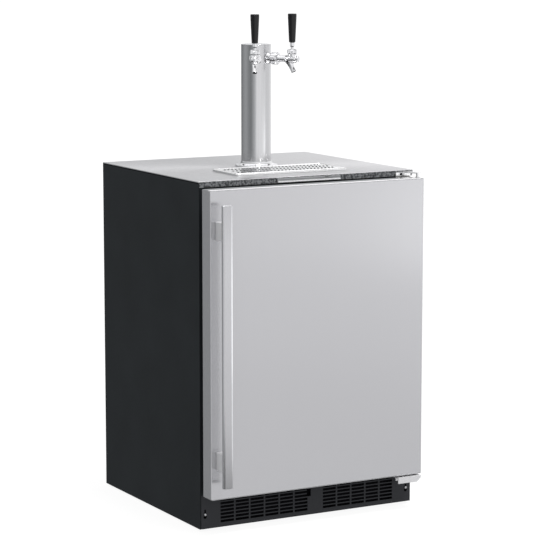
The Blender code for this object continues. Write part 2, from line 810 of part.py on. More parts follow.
def shank(side, frame, paints):
    """Threaded tube through the column, with its saddle collar outside and a hose elbow inside.
    In each faucet's frame +X runs outwards from the tower's axis, through the shank's middle."""
    collar_r = 12.4 * MM
    profile = [(0, 33 * MM), (collar_r, 33 * MM), (collar_r, 47.6 * MM)]
    profile += [(collar_r - 1 * MM, 48.6 * MM), (0, 48.6 * MM)]
    collar = turned(f"shank_{side}", profile, paints["chrome"], frame, 18, towards=(1, 0, 0))
    low, high = (0, 0, -40 * MM), (0, 0, 40 * MM)
    saddle = rod(f"shank_saddle_{side}", COLUMN_R + GAP, low, high, None, frame, 32)
    cut(collar, saddle)
    thread = rod(f"shank_thread_{side}", 7.9 * MM, (26 * MM, 0, 0), (56.4 * MM, 0, 0), None, frame)
    low, high = (LINE_R - 1 * MM, 0, 0), (27 * MM, 0, 0)
    nipple = rod(f"shank_nipple_{side}", 4.2 * MM, low, high, None, frame)
    low, high = (LINE_R, 0, -20 * MM), (LINE_R, 0, 5 * MM)
    elbow = rod(f"shank_elbow_{side}", 5 * MM, low, high, None, frame)
    fuse(collar, thread, nipple, elbow)


def beer_line(side, frame, paints):
    """Hose from the elbow straight down the tower and duct to a swivel nut at the cavity ceiling."""
    top = -20 * MM - GAP
    hose = 4.75 * MM
    nut_top = CAVITY_CEILING + 16 * MM - SHANK_Z
    nut_low = CAVITY_CEILING - 1 * MM - SHANK_Z
    profile = [
        (0, nut_low),
        (8 * MM, nut_low),
        (8.3 * MM, nut_low + 1 * MM),
        (8.3 * MM, nut_top - 4 * MM),
        (6 * MM, nut_top),
        (hose, nut_top),
        (hose, top),
        (0, top),
    ]
    turned(f"beer_line_{side}", profile, paints["hose"], frame, 12, (LINE_R, 0, 0))


def faucet(side, frame, paints):
    chrome = paints["chrome"]
    nut_bore = 8.9 * MM
    nut = [
        (nut_bore, 49.4 * MM),
        (14.6 * MM, 49.4 * MM),
        (15.7 * MM, 50.4 * MM),
        (15.7 * MM, 64.4 * MM),
        (14.4 * MM, 65.6 * MM),
        (nut_bore, 65.6 * MM),
        (nut_bore, 62.0 * MM),
        (12.6 * MM, 61.6 * MM),
        (12.6 * MM, 56.8 * MM),
        (nut_bore, 56.6 * MM),
    ]
    turned(f"coupling_nut_{side}", nut, chrome, frame, 18, towards=(1, 0, 0))

    barrel = [
        (0, 57.2 * MM),
        (12 * MM, 57.2 * MM),
        (12 * MM, 61.2 * MM),
        (8.5 * MM, 61.6 * MM),
        (8.5 * MM, 84 * MM),
        (9.6 * MM, 90 * MM),
        (11.2 * MM, 98 * MM),
        (11.2 * MM, 112 * MM),
        (9.6 * MM, 118 * MM),
        (7.4 * MM, 119.4 * MM),
        (7.4 * MM, 124.4 * MM),
        (6.0 * MM, 126.4 * MM),
        (0, 126.8 * MM),
    ]
    body = turned(f"faucet_body_{side}", barrel, chrome, frame, 18, towards=(1, 0, 0))
    lean = math.radians(28)
    mouth = Vector((112 * MM, 0, -32.4 * MM))
    down = Vector((math.sin(lean), 0, -math.cos(lean)))
    length = -mouth.z / math.cos(lean)
    start = mouth - down * length
    profile = [(0, 0), (9.4 * MM, 0), (10.4 * MM, 5 * MM), (8.4 * MM, 12 * MM), (7.0 * MM, 20 * MM)]
    profile += [(6.4 * MM, 27 * MM), (6.4 * MM, length - 2 * MM), (6.9 * MM, length), (0, length)]
    spout = turned(f"spout_{side}", profile, None, frame, 14, start, down)
    high = (LEVER_R, 0, 13 * MM)
    socket = rod(f"bonnet_socket_{side}", 11.4 * MM, (LEVER_R, 0, 0), high, None, frame, 18)
    fuse(body, spout, socket)
    low, high = (40 * MM, 0, 0), (116 * MM, 0, 0)
    bore = rod(f"shaft_bore_{side}", 4.8 * MM, low, high, None, frame, 12)
    low, high = (LEVER_R, 0, -2 * MM), (LEVER_R, 0, 20 * MM)
    well = rod(f"lever_well_{side}", 8.6 * MM, low, high, None, frame)
    low, high = start + down * 2 * MM, mouth + down * CLEAR
    spout_bore = rod(f"spout_bore_{side}", 4.6 * MM, low, high, None, frame, 12)
    cut(body, bore, well, spout_bore)

    bonnet = [
        (9.2 * MM, 13.3 * MM),
        (12.2 * MM, 13.3 * MM),
        (12.7 * MM, 14.2 * MM),
        (12.7 * MM, 21.6 * MM),
        (12.1 * MM, 24.3 * MM),
        (11.0 * MM, 24.6 * MM),
        (10.6 * MM, 24.2 * MM),
        (9.2 * MM, 19 * MM),
    ]
    turned(f"bonnet_{side}", bonnet, chrome, frame, 18, (LEVER_R, 0, 0))

    slide = empty(f"valve_shaft_{side}_slide", (LEVER_R, 0, 0), frame)
    low, high = (-40 * MM, 0, 0), (6.4 * MM, 0, 0)
    shaft = rod(f"valve_shaft_{side}", 4.2 * MM, low, high, paints["zinc"], slide)
    low, high = (-4.6 * MM, -CLEAR, -1.4 * MM), (4.6 * MM, CLEAR, 2 * CLEAR)
    notch = box(f"shaft_notch_{side}", low, high, None, slide)
    cut(shaft, notch)

    pivot = empty(f"lever_{side}_pivot", (LEVER_R, 0, LEVER_RISE), frame)
    stem = [
        (0, -14.6 * MM),
        (2.4 * MM, -14.0 * MM),
        (2.6 * MM, -12 * MM),
        (2.6 * MM, -6 * MM),
        (4.8 * MM, -4.6 * MM),
        (6.6 * MM, -2 * MM),
        (7.0 * MM, 0),
        (6.6 * MM, 2 * MM),
        (4.4 * MM, 5.2 * MM),
        (3.4 * MM, 7 * MM),
        (3.4 * MM, 16.6 * MM),
        (5.2 * MM, 17.4 * MM),
        (6 * MM, 19 * MM),
        (6 * MM, 27.2 * MM),
        (4 * MM, 27.2 * MM),
        (4 * MM, 40 * MM),
        (0, 40 * MM),
    ]
    turned(f"lever_{side}", stem, chrome, pivot, 16)
    handle_low, handle_high = 27.5 * MM, 99.7 * MM
    foot_r, head_r = 8.3 * MM, 11.2 * MM
    grip = [
        (0, handle_low + 14 * MM),
        (4.3 * MM, handle_low + 14 * MM),
        (4.3 * MM, handle_low),
        (foot_r - 0.8 * MM, handle_low),
        (foot_r, handle_low + 0.8 * MM),
        (foot_r + 0.1 * MM, handle_low + 6 * MM),
        (head_r, handle_high - 3 * MM),
        (head_r, handle_high - 1.2 * MM),
        (head_r - 0.9 * MM, handle_high - 0.2 * MM),
        (0, handle_high),
    ]
    turned(f"tap_handle_{side}", grip, paints["gloss_black"], pivot, 18)


# ---------------------------------------------------------------- door


def door(paints, root):
    hinge = empty("door_hinge", (PIVOT_X, PIVOT_Y, DOOR_BOTTOM), root)
    middle = (-PIVOT_X, (DOOR_TOP - DOOR_BOTTOM) / 2)
    half_z = (DOOR_TOP - DOOR_BOTTOM) / 2
    front = DOOR_FRONT - PIVOT_Y
    back = DOOR_BACK - PIVOT_Y
    skin = 1 * MM
    edge = 1.6 * MM

    def panel(inset, radius):
        return rounded(DOOR_HALF - inset, half_z - inset, radius, middle, 2)

    sections = [
        (panel(edge, 1 * MM), front),
        (panel(0.4 * MM, 1.8 * MM), front + 0.5 * MM),
        (panel(0, 2 * MM), front + edge),
        (panel(0, 2 * MM), back - 2 * MM),
        (panel(skin, 1.2 * MM), back - 2 * MM),
        (panel(skin, 1.2 * MM), front + edge),
        (panel(edge + skin, 0.8 * MM), front + skin),
    ]
    door_skin = lofted("door_skin", sections, paints["door"], hinge, "Y")
    inside = skin + GAP
    sections = [
        (panel(edge + inside, 1 * MM), front + inside),
        (panel(inside, 1 * MM), front + inside + edge),
        (panel(inside, 1 * MM), back - 2 * MM - GAP),
    ]
    foam = lofted("door_foam", sections, paints["foam"], hinge, "Y")

    field = 62 * MM
    sections = [
        (panel(1.5 * MM, 2 * MM), back - 2 * MM),
        (panel(1.5 * MM, 2 * MM), back),
        (panel(field - 6 * MM, 14 * MM), back),
        (panel(field, 12 * MM), back + 9 * MM),
    ]
    lofted("door_inner_panel", sections, paints["liner"], hinge, "Y")

    ring_out, ring_in = 10 * MM, 28 * MM
    low, high = back + GAP, back + DOOR_GAP - GAP
    outer_waist, inner_waist = panel(ring_out + 2 * MM, 10 * MM), panel(ring_in - 2 * MM, 6 * MM)
    sections = [
        (panel(ring_out, 12 * MM), low),
        (panel(ring_out, 12 * MM), low + 3 * MM),
        (outer_waist, low + 5.5 * MM),
        (panel(ring_out, 12 * MM), low + 8 * MM),
        (panel(ring_out, 12 * MM), high),
        (panel(ring_in, 5 * MM), high),
        (panel(ring_in, 5 * MM), low + 8 * MM),
        (inner_waist, low + 5.5 * MM),
        (panel(ring_in, 5 * MM), low + 3 * MM),
        (panel(ring_in, 5 * MM), low),
    ]
    lofted("door_gasket", sections, paints["rubber"], hinge, "Y", ring=True)

    tall = DOOR_TOP - DOOR_BOTTOM
    for end, z, inwards in (("top", tall, -1), ("bottom", 0, 1)):
        for body, name in ((door_skin, "skin"), (foam, "foam")):
            start, end_at = (0, 0, z - inwards * CLEAR), (0, 0, z + inwards * 16 * MM)
            hole = rod(f"{name}_{end}_pin_hole", BUSH_HOLE_R, start, end_at, None, hinge)
            cut(body, hole)
        lip = -GAP - 1.4 * MM
        profile = [
            (BUSH_BORE_R, lip),
            (6.6 * MM, lip),
            (6.6 * MM, -GAP),
            (BUSH_R, -GAP),
            (BUSH_R, 14 * MM),
            (BUSH_BORE_R, 14 * MM),
        ]
        turned(f"hinge_bush_{end}", profile, paints["zinc"], hinge, 16, (0, 0, z), (0, 0, inwards))
    handle(paints, hinge)


def handle(paints, hinge):
    x0 = HANDLE_LEFT - PIVOT_X
    middle = (x0 + HANDLE_WIDTH / 2, HANDLE_FRONT + HANDLE_DEPTH / 2 - PIVOT_Y)
    half_x, half_y = HANDLE_WIDTH / 2, HANDLE_DEPTH / 2
    low, high = HANDLE_BOTTOM - DOOR_BOTTOM, HANDLE_TOP - DOOR_BOTTOM
    turn = 3.6 * MM

    def section(inset):
        return rounded(half_x - inset, half_y - inset, turn - 0.6 * inset, middle, 4)

    soft = 1.6 * MM
    sections = [
        (section(soft), low),
        (section(0.3 * soft), low + 0.35 * soft),
        (section(0), low + soft),
        (section(0), high - soft),
        (section(0.3 * soft), high - 0.35 * soft),
        (section(soft), high),
    ]
    lofted("handle_bar", sections, paints["handle"], hinge, smooth=True)
    half_z = 22 * MM
    near, far = DOOR_FRONT - PIVOT_Y - GAP, HANDLE_FRONT + HANDLE_DEPTH - PIVOT_Y + GAP
    top_z = HANDLE_TOP - BRACKET_INSET - 1 * MM
    bottom_z = HANDLE_BOTTOM + BRACKET_INSET - 1 * MM
    for end, z in (("top", top_z), ("bottom", bottom_z)):
        centre = (x0 + HANDLE_WIDTH / 2 - 0.5 * MM, z - DOOR_BOTTOM)
        outline = rounded(11.5 * MM, half_z, 2.5 * MM, centre, 3)
        inset = rounded(11 * MM, half_z - 0.5 * MM, 2 * MM, centre, 3)
        sections = [(inset, far), (outline, far + 0.5 * MM), (outline, near)]
        lofted(f"handle_bracket_{end}", sections, paints["handle"], hinge, "Y")


# ---------------------------------------------------------------- the object

clear_scene()
PAINTS = {
    "black": finish("black_enamel", (0.02, 0.022, 0.024), 0.45, 0.0),
    "trim": finish("black_trim", (0.04, 0.041, 0.043), 0.5, 0.0),
    "steel": finish("stainless_steel", (0.65, 0.65, 0.66), 0.3, 1.0),
    "door": finish("brushed_door", (0.6, 0.6, 0.62), 0.35, 1.0),
    "handle": finish("handle_steel", (0.6, 0.6, 0.62), 0.3, 1.0),
    "chrome": finish("polished_chrome", (0.8, 0.8, 0.81), 0.08, 1.0),
    "bright": finish("plated_bracket", (0.8, 0.8, 0.8), 0.25, 1.0),
    "zinc": finish("zinc", (0.5, 0.5, 0.51), 0.3, 1.0),
    "galvanised": finish("galvanised_sheet", (0.45, 0.46, 0.47), 0.45, 1.0),
    "fins": finish("aluminium_fins", (0.6, 0.61, 0.62), 0.4, 1.0),
    "bezel": finish("control_grey", (0.2, 0.205, 0.21), 0.3, 0.0),
    "liner": finish("liner_grey", (0.62, 0.63, 0.64), 0.4, 0.0),
    "foam": finish("foam", (0.75, 0.68, 0.45), 0.9, 0.0),
    "rubber": finish("black_rubber", (0.015, 0.015, 0.016), 0.7, 0.0),
    "hose": finish("clear_hose", (0.7, 0.72, 0.73), 0.3, 0.0),
    "gloss_black": finish("gloss_black", (0.008, 0.008, 0.009), 0.12, 0.0),
}

forward = (DEPTH - (HANDLE_STAND + DOOR_THICK + DOOR_GAP)) / 2
kegerator = empty("kegerator", (0, -forward, FOOT_SHOWN))
faucet_frames = {
    side: empty(f"faucet_{side}", (0, TOWER_Y, SHANK_Z), kegerator, angle)
    for side, angle in FAUCET_ANGLES.items()
}
insulated_box(PAINTS, kegerator)
casing(PAINTS, kegerator)
base_pan(PAINTS, kegerator)
worktop(PAINTS, kegerator)
kick_grille(PAINTS, kegerator)
front_controls(PAINTS, kegerator)
hinges(PAINTS, kegerator)
machine_space(PAINTS, kegerator)
evaporator(PAINTS, kegerator)
feet(PAINTS, kegerator)
drip_tray(PAINTS, kegerator)
tower(PAINTS, kegerator, faucet_frames)
for faucet_side, faucet_frame in faucet_frames.items():
    shank(faucet_side, faucet_frame, PAINTS)
    beer_line(faucet_side, faucet_frame, PAINTS)
    faucet(faucet_side, faucet_frame, PAINTS)
door(PAINTS, kegerator)
bpy.context.view_layer.update()
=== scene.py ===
"""Looks for the kegerator: finer visible pieces, materials, studio light and the camera."""

import json
import math

import bmesh
import bpy
from mathutils import Matrix, Vector

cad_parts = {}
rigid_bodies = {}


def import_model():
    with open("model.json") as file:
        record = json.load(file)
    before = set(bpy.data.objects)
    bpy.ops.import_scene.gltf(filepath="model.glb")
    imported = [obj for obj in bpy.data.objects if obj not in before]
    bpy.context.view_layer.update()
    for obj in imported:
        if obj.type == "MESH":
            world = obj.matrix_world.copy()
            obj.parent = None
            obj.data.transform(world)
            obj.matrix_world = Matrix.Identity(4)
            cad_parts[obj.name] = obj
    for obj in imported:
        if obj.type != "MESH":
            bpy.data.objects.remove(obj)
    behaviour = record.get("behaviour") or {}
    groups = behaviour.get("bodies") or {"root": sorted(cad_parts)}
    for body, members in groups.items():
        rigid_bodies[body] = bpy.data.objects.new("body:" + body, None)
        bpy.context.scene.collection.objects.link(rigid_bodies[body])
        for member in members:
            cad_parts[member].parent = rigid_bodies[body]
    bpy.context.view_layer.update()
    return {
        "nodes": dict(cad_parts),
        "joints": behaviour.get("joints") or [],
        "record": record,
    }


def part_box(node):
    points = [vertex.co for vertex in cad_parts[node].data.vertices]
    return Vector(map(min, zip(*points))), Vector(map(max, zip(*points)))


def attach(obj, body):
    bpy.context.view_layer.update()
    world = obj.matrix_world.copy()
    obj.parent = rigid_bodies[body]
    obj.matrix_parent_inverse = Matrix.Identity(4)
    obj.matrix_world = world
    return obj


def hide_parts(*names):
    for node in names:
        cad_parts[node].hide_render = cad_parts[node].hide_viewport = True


MM = 0.001

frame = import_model()
NODES = frame["nodes"]


# ---------------------------------------------------------------- places taken from the frame


def span(node):
    """Lowest corner, highest corner and middle of a CAD node."""
    low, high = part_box(node)
    return low, high, (low + high) / 2


WORKTOP_LOW, WORKTOP_HIGH = span("worktop")[:2]
DOOR_LOW, DOOR_HIGH = span("door_skin")[:2]
COLUMN_LOW, COLUMN_HIGH, COLUMN_MID = span("tower_column")
CAP_LOW, CAP_HIGH = span("tower_cap")[:2]
FLANGE_LOW, FLANGE_HIGH = span("tower_flange")[:2]
TRAY_LOW, TRAY_HIGH, TRAY_MID = span("drip_tray")
GRILLE_LOW, GRILLE_HIGH, GRILLE_MID = span("drip_grille")
BAR_LOW, BAR_HIGH, BAR_MID = span("handle_bar")
KICK_LOW, KICK_HIGH = span("kick_grille")[:2]
BEZEL_LOW, BEZEL_HIGH = span("control_bezel")[:2]
TRIM_LOW = span("front_trim")[0]
INLET_LOW, INLET_HIGH, INLET_MID = span("power_inlet")

TOP_Z = WORKTOP_HIGH.z
COLUMN_R = (COLUMN_HIGH.x - COLUMN_LOW.x) / 2
TOWER_AXIS = Vector((COLUMN_MID.x, COLUMN_MID.y, 0))
SHANK_Z = span("valve_shaft_left")[2].z
JOINTS = {joint["name"]: joint for joint in frame["joints"]}
FAUCET_SIDES = ("left", "right")
TAP_PIECES = ("coupling_ring", "faucet_shell", "bonnet_ring", "lever_stem")
FAUCET_TURN = {"left": math.radians(-120), "right": math.radians(-60)}
LEVER_OUT = (Vector(JOINTS["lever_left_pivot"]["pos_m"]).xy - TOWER_AXIS.xy).length
LEVER_Z = JOINTS["lever_left_pivot"]["pos_m"][2] - SHANK_Z
PIN = Vector(JOINTS["door_hinge"]["pos_m"])


# ---------------------------------------------------------------- mesh building


def linked(name, mesh):
    """A new object in the scene, named as given."""
    made = bpy.data.objects.new(name, mesh)
    bpy.context.scene.collection.objects.link(made)
    return made


def mesh_of(name, bm, smooth=True, sharp=35):
    """A mesh from bm, with edges sharper than sharp degrees kept crisp."""
    bmesh.ops.recalc_face_normals(bm, faces=bm.faces)
    mesh = bpy.data.meshes.new(name)
    bm.to_mesh(mesh)
    bm.free()
    if smooth:
        mesh.shade_smooth()
        mesh.set_sharp_from_angle(angle=math.radians(sharp))
    return mesh


def bridge(bm, first, second):
    """Faces between two closed loops, of which one may be a single point."""
    count = max(len(first), len(second))
    for i in range(count):
        j = (i + 1) % count
        if len(first) == 1:
            bm.faces.new((first[0], second[j], second[i]))
        elif len(second) == 1:
            bm.faces.new((first[i], first[j], second[0]))
        else:
            bm.faces.new((first[i], first[j], second[j], second[i]))


def turned(name, profile, place, steps, wave=None):
    """A body of revolution about Z. profile holds (radius, height), and wave(radius, height,
    angle), where given, returns the radius there. A profile off the axis is closed as a ring."""
    bm = bmesh.new()
    rings = []
    for radius, height in profile:
        ring = []
        for i in range(1 if radius == 0 else steps):
            angle = math.tau * i / steps
            r = wave(radius, height, angle) if wave and radius else radius
            ring.append(bm.verts.new((r * math.cos(angle), r * math.sin(angle), height)))
        rings.append(ring)
    pairs = list(zip(rings, rings[1:]))
    if profile[0][0] > 0:
        pairs.append((rings[-1], rings[0]))
    for first, second in pairs:
        bridge(bm, first, second)
    bm.transform(place)
    return linked(name, mesh_of(name, bm))


def lofted(name, sections, smooth=True, closed_ring=False, sharp=35):
    """A body through equal-length outlines. sections holds (outline, height)."""
    bm = bmesh.new()
    rings = []
    for outline, height in sections:
        rings.append([bm.verts.new((x, y, height)) for x, y in outline])
    for first, second in zip(rings, rings[1:]):
        bridge(bm, first, second)
    if closed_ring:
        bridge(bm, rings[-1], rings[0])
    else:
        bm.faces.new(rings[0])
        bm.faces.new(rings[-1])
    return linked(name, mesh_of(name, bm, smooth, sharp))


def rounded(half_x, half_y, radius, centre=(0, 0), steps=6):
    """A rectangle's outline with rounded corners."""
    points = []
    for quarter, (sx, sy) in enumerate(((1, 1), (-1, 1), (-1, -1), (1, -1))):
        cx = centre[0] + sx * (half_x - radius)
        cy = centre[1] + sy * (half_y - radius)
        for step in range(steps + 1):
            angle = math.pi / 2 * (quarter + step / steps)
            points.append((cx + radius * math.cos(angle), cy + radius * math.sin(angle)))
    return points


def box(name, low, high):
    """A plain block between two corners."""
    outline = [(low[0], low[1]), (high[0], low[1]), (high[0], high[1]), (low[0], high[1])]
    return lofted(name, [(outline, low[2]), (outline, high[2])], smooth=False)


def in_mm(*points):
    """(radius, height) points, given in millimetres."""
    return [(radius * MM, height * MM) for radius, height in points]


def arc(centre, radius, start, end, steps):
    """Points on an arc, with angles in degrees."""
    points = []
    for i in range(steps + 1):
        angle = math.radians(start + (end - start) * i / steps)
        points.append((centre[0] + radius * math.cos(angle), centre[1] + radius * math.sin(angle)))
    return points


def creased(piece, angle):
    """Smooth shading, with edges sharper than angle degrees kept crisp."""
    piece.data.shade_smooth()
    piece.data.set_sharp_from_angle(angle=math.radians(angle))
    return piece


def bevelled(piece, width, segments):
    """Rounds a piece's edges with a modifier."""
    modifier = piece.modifiers.new("edges", "BEVEL")
    modifier.width = width
    modifier.segments = segments
    modifier.limit_method = "ANGLE"
    modifier.angle_limit = math.radians(30)
    modifier.harden_normals = True
    return piece


def softened(node, width, segments=2):
    """Rounds the edges of a CAD node as it is shown, after joining its triangles into faces."""
    piece = NODES[node]
    weld = piece.modifiers.new("weld", "WELD")
    weld.merge_threshold = 0.005 * MM
    flat = piece.modifiers.new("flat_faces", "DECIMATE")
    flat.decimate_type = "DISSOLVE"
    flat.angle_limit = math.radians(0.5)
    return bevelled(piece, width, segments)


def applied(piece):
    """The piece with its modifiers made real."""
    bpy.context.view_layer.update()
    graph = bpy.context.evaluated_depsgraph_get()
    mesh = bpy.data.meshes.new_from_object(piece.evaluated_get(graph))
    piece.modifiers.clear()
    piece.data = mesh
    return piece


def join_solid(body, operation, *tools):
    """Adds the tools to a body, or cuts them from it, and removes them."""
    for tool in tools:
        modifier = body.modifiers.new(tool.name, "BOOLEAN")
        modifier.operation = operation
        modifier.solver = "EXACT"
        modifier.object = tool
    applied(body)
    for tool in tools:
        bpy.data.objects.remove(tool, do_unlink=True)
    return body


def cast(body, voxel, rounds):
    """Remeshes a union of shapes and relaxes it, so that its inner corners become fillets."""
    remesh = body.modifiers.new("remesh", "REMESH")
    remesh.mode = "VOXEL"
    remesh.voxel_size = voxel
    remesh.use_smooth_shade = True
    relax = body.modifiers.new("relax", "SMOOTH")
    relax.factor = 0.5
    relax.iterations = rounds
    return applied(body)


def show(piece, body, slot, paint, *stands_for):
    """Gives a piece its material and body, and says which CAD nodes it stands for."""
    piece.data.materials.clear()
    piece.data.materials.append(paint)
    if stands_for:
        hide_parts(*stands_for)
    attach(piece, body)
    return piece


def paint_node(node, paint):
    """Gives a CAD node a material."""
    mesh = NODES[node].data
    mesh.materials.clear()
    mesh.materials.append(paint)


# ---------------------------------------------------------------- materials


def shader(name, colour, metallic, roughness):
    """A new material, its node tree and its main shader."""
    paint = bpy.data.materials.new(name)
    paint.use_nodes = True
    tree = paint.node_tree
    core = tree.nodes["Principled BSDF"]
    core.inputs["Base Color"].default_value = (*colour, 1)
    core.inputs["Metallic"].default_value = metallic
    core.inputs["Roughness"].default_value = roughness
    return paint, tree, core


def noise(tree, scale, detail, stretch=(1, 1, 1)):
    """Noise in the object's own metres, stretched along the axes with small numbers."""
    place = tree.nodes.new("ShaderNodeTexCoord")
    mapping = tree.nodes.new("ShaderNodeMapping")
    mapping.inputs["Scale"].default_value = stretch
    tree.links.new(place.outputs["Object"], mapping.inputs["Vector"])
    texture = tree.nodes.new("ShaderNodeTexNoise")
    texture.inputs["Scale"].default_value = scale
    texture.inputs["Detail"].default_value = detail
    tree.links.new(mapping.outputs["Vector"], texture.inputs["Vector"])
    return texture.outputs["Fac"]


def spread(tree, source, low, high, start=0.3, end=0.7):
    """Maps a texture's middle range onto low to high."""
    node = tree.nodes.new("ShaderNodeMapRange")
    node.inputs["From Min"].default_value = start
    node.inputs["From Max"].default_value = end
    node.inputs["To Min"].default_value = low
    node.inputs["To Max"].default_value = high
    tree.links.new(source, node.inputs["Value"])
    return node.outputs["Result"]


def tinted(tree, core, source, dark, light, start=0.3, end=0.7):
    """Varies the colour between dark and light."""
    mix = tree.nodes.new("ShaderNodeMix")
    mix.data_type = "RGBA"
    mix.inputs["A"].default_value = (*dark, 1)
    mix.inputs["B"].default_value = (*light, 1)
    tree.links.new(spread(tree, source, 0, 1, start, end), mix.inputs["Factor"])
    tree.links.new(mix.outputs["Result"], core.inputs["Base Color"])


def bumped(tree, core, source, strength, depth):
    """Raises the surface slightly where the texture is light."""
    bump = tree.nodes.new("ShaderNodeBump")
    bump.inputs["Strength"].default_value = strength
    bump.inputs["Distance"].default_value = depth
    tree.links.new(source, bump.inputs["Height"])
    tree.links.new(bump.outputs["Normal"], core.inputs["Normal"])


def scaled(colour, factor):
    """A lighter or darker shade of a colour."""
    return tuple(min(1, part * factor) for part in colour)


FINE_LINES, BROAD_LINES = 1400, 160


def brushed(name, colour, roughness, stretch, contrast=0.05, swing=0.035, metallic=1.0):
    """Brushed stainless steel. stretch is small along the brushing, contrast is the colour's
    variation and swing the roughness's."""
    paint, tree, core = shader(name, colour, metallic, roughness)
    fine = noise(tree, FINE_LINES, 3, stretch)
    broad = noise(tree, BROAD_LINES, 2, stretch)
    tinted(tree, core, broad, scaled(colour, 1 - contrast), scaled(colour, 1 + contrast))
    low, high = roughness - swing, roughness + swing
    tree.links.new(spread(tree, fine, low, high), core.inputs["Roughness"])
    core.inputs["Anisotropic"].default_value = 0.6
    tangent = tree.nodes.new("ShaderNodeTangent")
    tangent.direction_type = "RADIAL"
    tangent.axis = "Z"
    tree.links.new(tangent.outputs["Tangent"], core.inputs["Tangent"])
    bumped(tree, core, fine, 0.15, 0.3 * swing * MM)
    return paint


def polished(name, colour, roughness):
    """Chrome or bright plate, with faint wiping marks."""
    paint, tree, core = shader(name, colour, 1.0, roughness)
    marks = noise(tree, 260, 4)
    tree.links.new(spread(tree, marks, roughness * 0.7, roughness * 1.5), core.inputs["Roughness"])
    tinted(tree, core, marks, scaled(colour, 0.96), scaled(colour, 1.03))
    return paint


def satin(name, colour, roughness):
    """Bead-blasted casting: half metal, half matt, with a fine grit."""
    paint, tree, core = shader(name, colour, 0.55, roughness)
    grit = noise(tree, 1600, 3)
    tinted(tree, core, grit, scaled(colour, 0.93), scaled(colour, 1.05))
    tree.links.new(spread(tree, grit, roughness - 0.05, roughness + 0.08), core.inputs["Roughness"])
    bumped(tree, core, grit, 0.3, 0.03 * MM)
    return paint


def enamelled(name, colour, roughness, pebble, depth):
    """Painted sheet with a fine pebbled skin."""
    paint, tree, core = shader(name, colour, 0.0, roughness)
    core.inputs["Specular IOR Level"].default_value = 0.12
    grain = noise(tree, pebble, 4)
    cloud = noise(tree, 9, 3)
    tinted(tree, core, cloud, scaled(colour, 0.9), scaled(colour, 1.12))
    tree.links.new(spread(tree, grain, roughness - 0.05, roughness + 0.1), core.inputs["Roughness"])
    bumped(tree, core, grain, 0.35, depth)
    return paint


def moulded(name, colour, roughness, grain_size=1200, depth=0.03 * MM, specular=0.5):
    """Moulded plastic or rubber with a fine grain."""
    paint, tree, core = shader(name, colour, 0.0, roughness)
    core.inputs["Specular IOR Level"].default_value = specular
    grain = noise(tree, grain_size, 3)
    tinted(tree, core, grain, scaled(colour, 0.88), scaled(colour, 1.14))
    tree.links.new(spread(tree, grain, roughness - 0.04, roughness + 0.08), core.inputs["Roughness"])
    bumped(tree, core, grain, 0.3, depth)
    return paint


def glowing(name, colour, strength):
    """Bright plate whose glow is painted light, standing for the light caught between the handle and the
    door.
    """
    paint, tree, core = shader(name, colour, 0.6, 0.3)
    core.inputs["Emission Color"].default_value = (*colour, 1)
    core.inputs["Emission Strength"].default_value = strength
    tinted(tree, core, noise(tree, 300, 3), scaled(colour, 0.95), scaled(colour, 1.04))
    return paint


def speckled(name, dark, light, roughness):
    """Textured strip with light and dark flecks."""
    paint, tree, core = shader(name, light, 0.0, roughness)
    core.inputs["Specular IOR Level"].default_value = 0.3
    flecks = noise(tree, 190, 2)
    tinted(tree, core, flecks, dark, light, 0.42, 0.58)
    bumped(tree, core, flecks, 0.2, 0.05 * MM)
    return paint


def foamed():
    """Yellow insulating foam with small cells."""
    paint, tree, core = shader("paint_foam", (0.72, 0.62, 0.36), 0.0, 0.9)
    cells = noise(tree, 500, 5)
    tinted(tree, core, cells, (0.6, 0.5, 0.27), (0.8, 0.7, 0.43))
    bumped(tree, core, cells, 0.6, 0.5 * MM)
    return paint


UP_GRAIN = (1, 1, 0.008)
ACROSS_GRAIN = (0.008, 1, 1)

